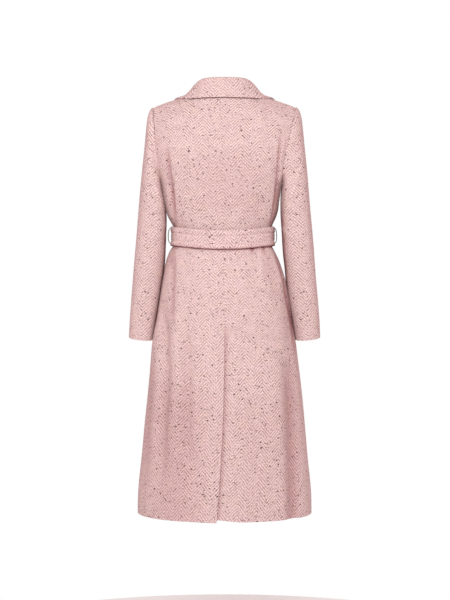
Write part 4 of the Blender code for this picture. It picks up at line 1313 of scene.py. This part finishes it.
for loop in knot.data.loops:
    p = knot.data.vertices[loop.vertex_index].co
    weave.data[loop.index].uv = (p.x + 0.4 * p.z, p.z - 0.3 * p.x - p.y)
round_edges = knot.modifiers.new("Round", "SUBSURF")
round_edges.levels = 1
round_edges.render_levels = 1
bpy.ops.object.modifier_apply(modifier="Round")
bpy.ops.object.shade_smooth()
knot.data.materials.append(belt_wool)
choose()
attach(knot, "root")
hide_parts("belt_knot")

# ---------------------------------------------------------------- the belt's hanging ends
# The two ends of the belt fall from the knot down the front, each a folded band stitched along
# its edges and closed square at the tip. The wearer's right one is the longer.
END_ROWS = 72
END_COLUMNS = 16
END_LIFT = 0.0050
END_TOP = KNOT_Z - 0.0372
ENDS = [
    dict(word="left", x_top=KNOT_X + 0.016, x_low=0.060, long=0.330),
    dict(word="right", x_top=KNOT_X - 0.020, x_low=-0.030, long=0.370),
]
for end in ENDS:
    rows, weave = [], []
    for i in range(END_ROWS + 1):
        run = i / END_ROWS
        z = END_TOP - end["long"] * run
        middle = end["x_top"] + (end["x_low"] - end["x_top"]) * run**0.8
        row = []
        for k in range(END_COLUMNS + 1):
            share = 0.5 - k / END_COLUMNS
            across = BELT_TALL * share * (0.62 + 0.38 * soft(run, 0.0, 0.20))
            settle = END_LIFT + 0.016 * (1 - soft(run, 0.0, 0.35))
            settle += 0.0018 * math.sin(7.0 * run + 3.0 * share) * soft(run, 0.05, 0.30)
            settle += 0.0022 * math.cos(4 * math.pi * share) * (1 - soft(run, 0.0, 0.30))
            settle -= 0.0008 * (bell(share, 0.36, 0.05) + bell(share, -0.36, 0.05))
            row.append(front_place(middle + across, z, settle))
        rows.append(row)
        along = end["long"] * run
        weave.append([(BELT_TALL * k / END_COLUMNS, along) for k in range(END_COLUMNS + 1)])
    piece = cloth(f"belt_end_{end['word']}_cloth", rows, weave, flip=False, thickness=BELT_WALL)
    piece.data.materials.append(belt_wool)
    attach(piece, "root")
    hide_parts(f"belt_end_{end['word']}")

# ---------------------------------------------------------------- the thread loops
# A loop of grey twisted thread at each side seam holds the belt up. It is worked over a few
# strands and sewn into the seam above and below the belt.
loop_thread, tree, shader = material("grey twisted thread", 0.7)
grain = tree.nodes.new("ShaderNodeTexNoise")
grain.inputs["Scale"].default_value = 900.0
where = tree.nodes.new("ShaderNodeTexCoord")
tree.links.new(where.outputs["Object"], grain.inputs["Vector"])
tone = mix(tree, grain.outputs["Fac"], (0.085, 0.085, 0.065), (0.21, 0.205, 0.165))
tree.links.new(tone, shader.inputs["Base Color"])

STRANDS = 3
STRAND_RADIUS = 0.00064
TWIST_RADIUS = 0.0006
TWIST_STEP = 0.42
LOOP_TOP = BELT_Z + 0.0275
LOOP_LOW = BELT_Z - 0.0245
LOOP_Y = 0.004

for side, word in ((1, "left"), (-1, "right")):
    upper = body_point(side, 1, LOOP_TOP, math.pi / 2).x + side * 0.0015
    lower = body_point(side, 1, LOOP_LOW, math.pi / 2).x + side * 0.0015
    outer = side * 0.1450 + 0.0054
    path = smooth_line([
        Vector((upper, LOOP_Y, LOOP_TOP)),
        Vector((outer - side * 0.0020, LOOP_Y, LOOP_TOP - 0.010)),
        Vector((outer, LOOP_Y, BELT_Z)),
        Vector((outer - side * 0.0020, LOOP_Y, LOOP_LOW + 0.010)),
        Vector((lower, LOOP_Y, LOOP_LOW)),
    ], 90)
    strands = []
    for strand in range(STRANDS):
        twist = bpy.data.curves.new(f"strand_{word}_{strand}", "CURVE")
        twist.dimensions = "3D"
        twist.bevel_depth = STRAND_RADIUS
        twist.bevel_resolution = 1
        twist.use_fill_caps = True
        spline = twist.splines.new("POLY")
        spline.points.add(len(path) - 1)
        for i, (slot, p) in enumerate(zip(spline.points, path)):
            turn = i * TWIST_STEP + strand * 2 * math.pi / STRANDS
            x = p.x + TWIST_RADIUS * math.cos(turn)
            y = p.y + TWIST_RADIUS * math.sin(turn)
            slot.co = (x, y, p.z, 1.0)
        strands.append(add(f"strand_{word}_{strand}", twist))
    choose(*strands)
    bpy.ops.object.convert(target="MESH")
    bpy.ops.object.join()
    loop = bpy.context.object
    loop.name = f"belt_loop_{word}_thread"
    bpy.ops.object.shade_smooth()
    loop.data.materials.clear()
    loop.data.materials.append(loop_thread)
    choose()
    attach(loop, "root")
    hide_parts(f"belt_loop_{word}")

# ---------------------------------------------------------------- the floor and the studio
# A plain pale round floor stands well below the coat, in a white room. The light is soft: one
# broad lamp high behind the camera, weaker ones on the other side and at both sides, and the room.
bpy.ops.mesh.primitive_cylinder_add(vertices=128, radius=1.2, depth=0.02, location=(0, 0, -1.63))
floor = bpy.context.object
floor.name = "studio_floor"
pale, _, shader = material("pale studio floor", 0.9)
shader.inputs["Base Color"].default_value = (0.84, 0.91, 0.91, 1.0)
floor.data.materials.append(pale)

world = bpy.data.worlds.new("white room")
bpy.context.scene.world = world
world.use_nodes = True
tree = world.node_tree
seen = tree.nodes.new("ShaderNodeLightPath")
# the room lights the coat in a deeper colour than the camera sees behind it
bright = mix(tree, seen.outputs["Is Camera Ray"], (0.410, 0.225, 0.222), (1.0, 1.0, 1.0))
tree.links.new(bright, tree.nodes["Background"].inputs["Color"])
bpy.context.scene.view_settings.view_transform = "Standard"

LAMP_AIM = Vector((0, 0, -0.5))
LAMPS = table("name place size power", [
    ("broad key", (0.30, 3.6, 1.0), 1.4, 99),
    ("front side fill", (-0.9, -3.2, 1.0), 2.0, 80),
    ("soft left side", (3.2, 0.9, -0.2), 1.8, 16),
    ("soft right side", (-3.2, 0.9, -0.2), 1.8, 16),
])
for lamp in LAMPS:
    light = bpy.data.lights.new(lamp["name"], "AREA")
    light.size = lamp["size"]
    light.energy = lamp["power"]
    holder = add(lamp["name"], light)
    holder.location = lamp["place"]
    aim = LAMP_AIM - Vector(lamp["place"])
    holder.rotation_euler = aim.to_track_quat("-Z", "Y").to_euler()

# the camera looks level at the middle of the back, from 3.4 m
CAMERA_PLACE = (-0.00134, 3.4, -0.553)
camera = add("camera", bpy.data.cameras.new("camera"))
camera.location = CAMERA_PLACE
camera.rotation_euler = (math.radians(90), 0, math.radians(180))
camera.data.sensor_width = 36.0
camera.data.lens = 76.12
camera.data.clip_end = 60.0
bpy.context.scene.camera = camera
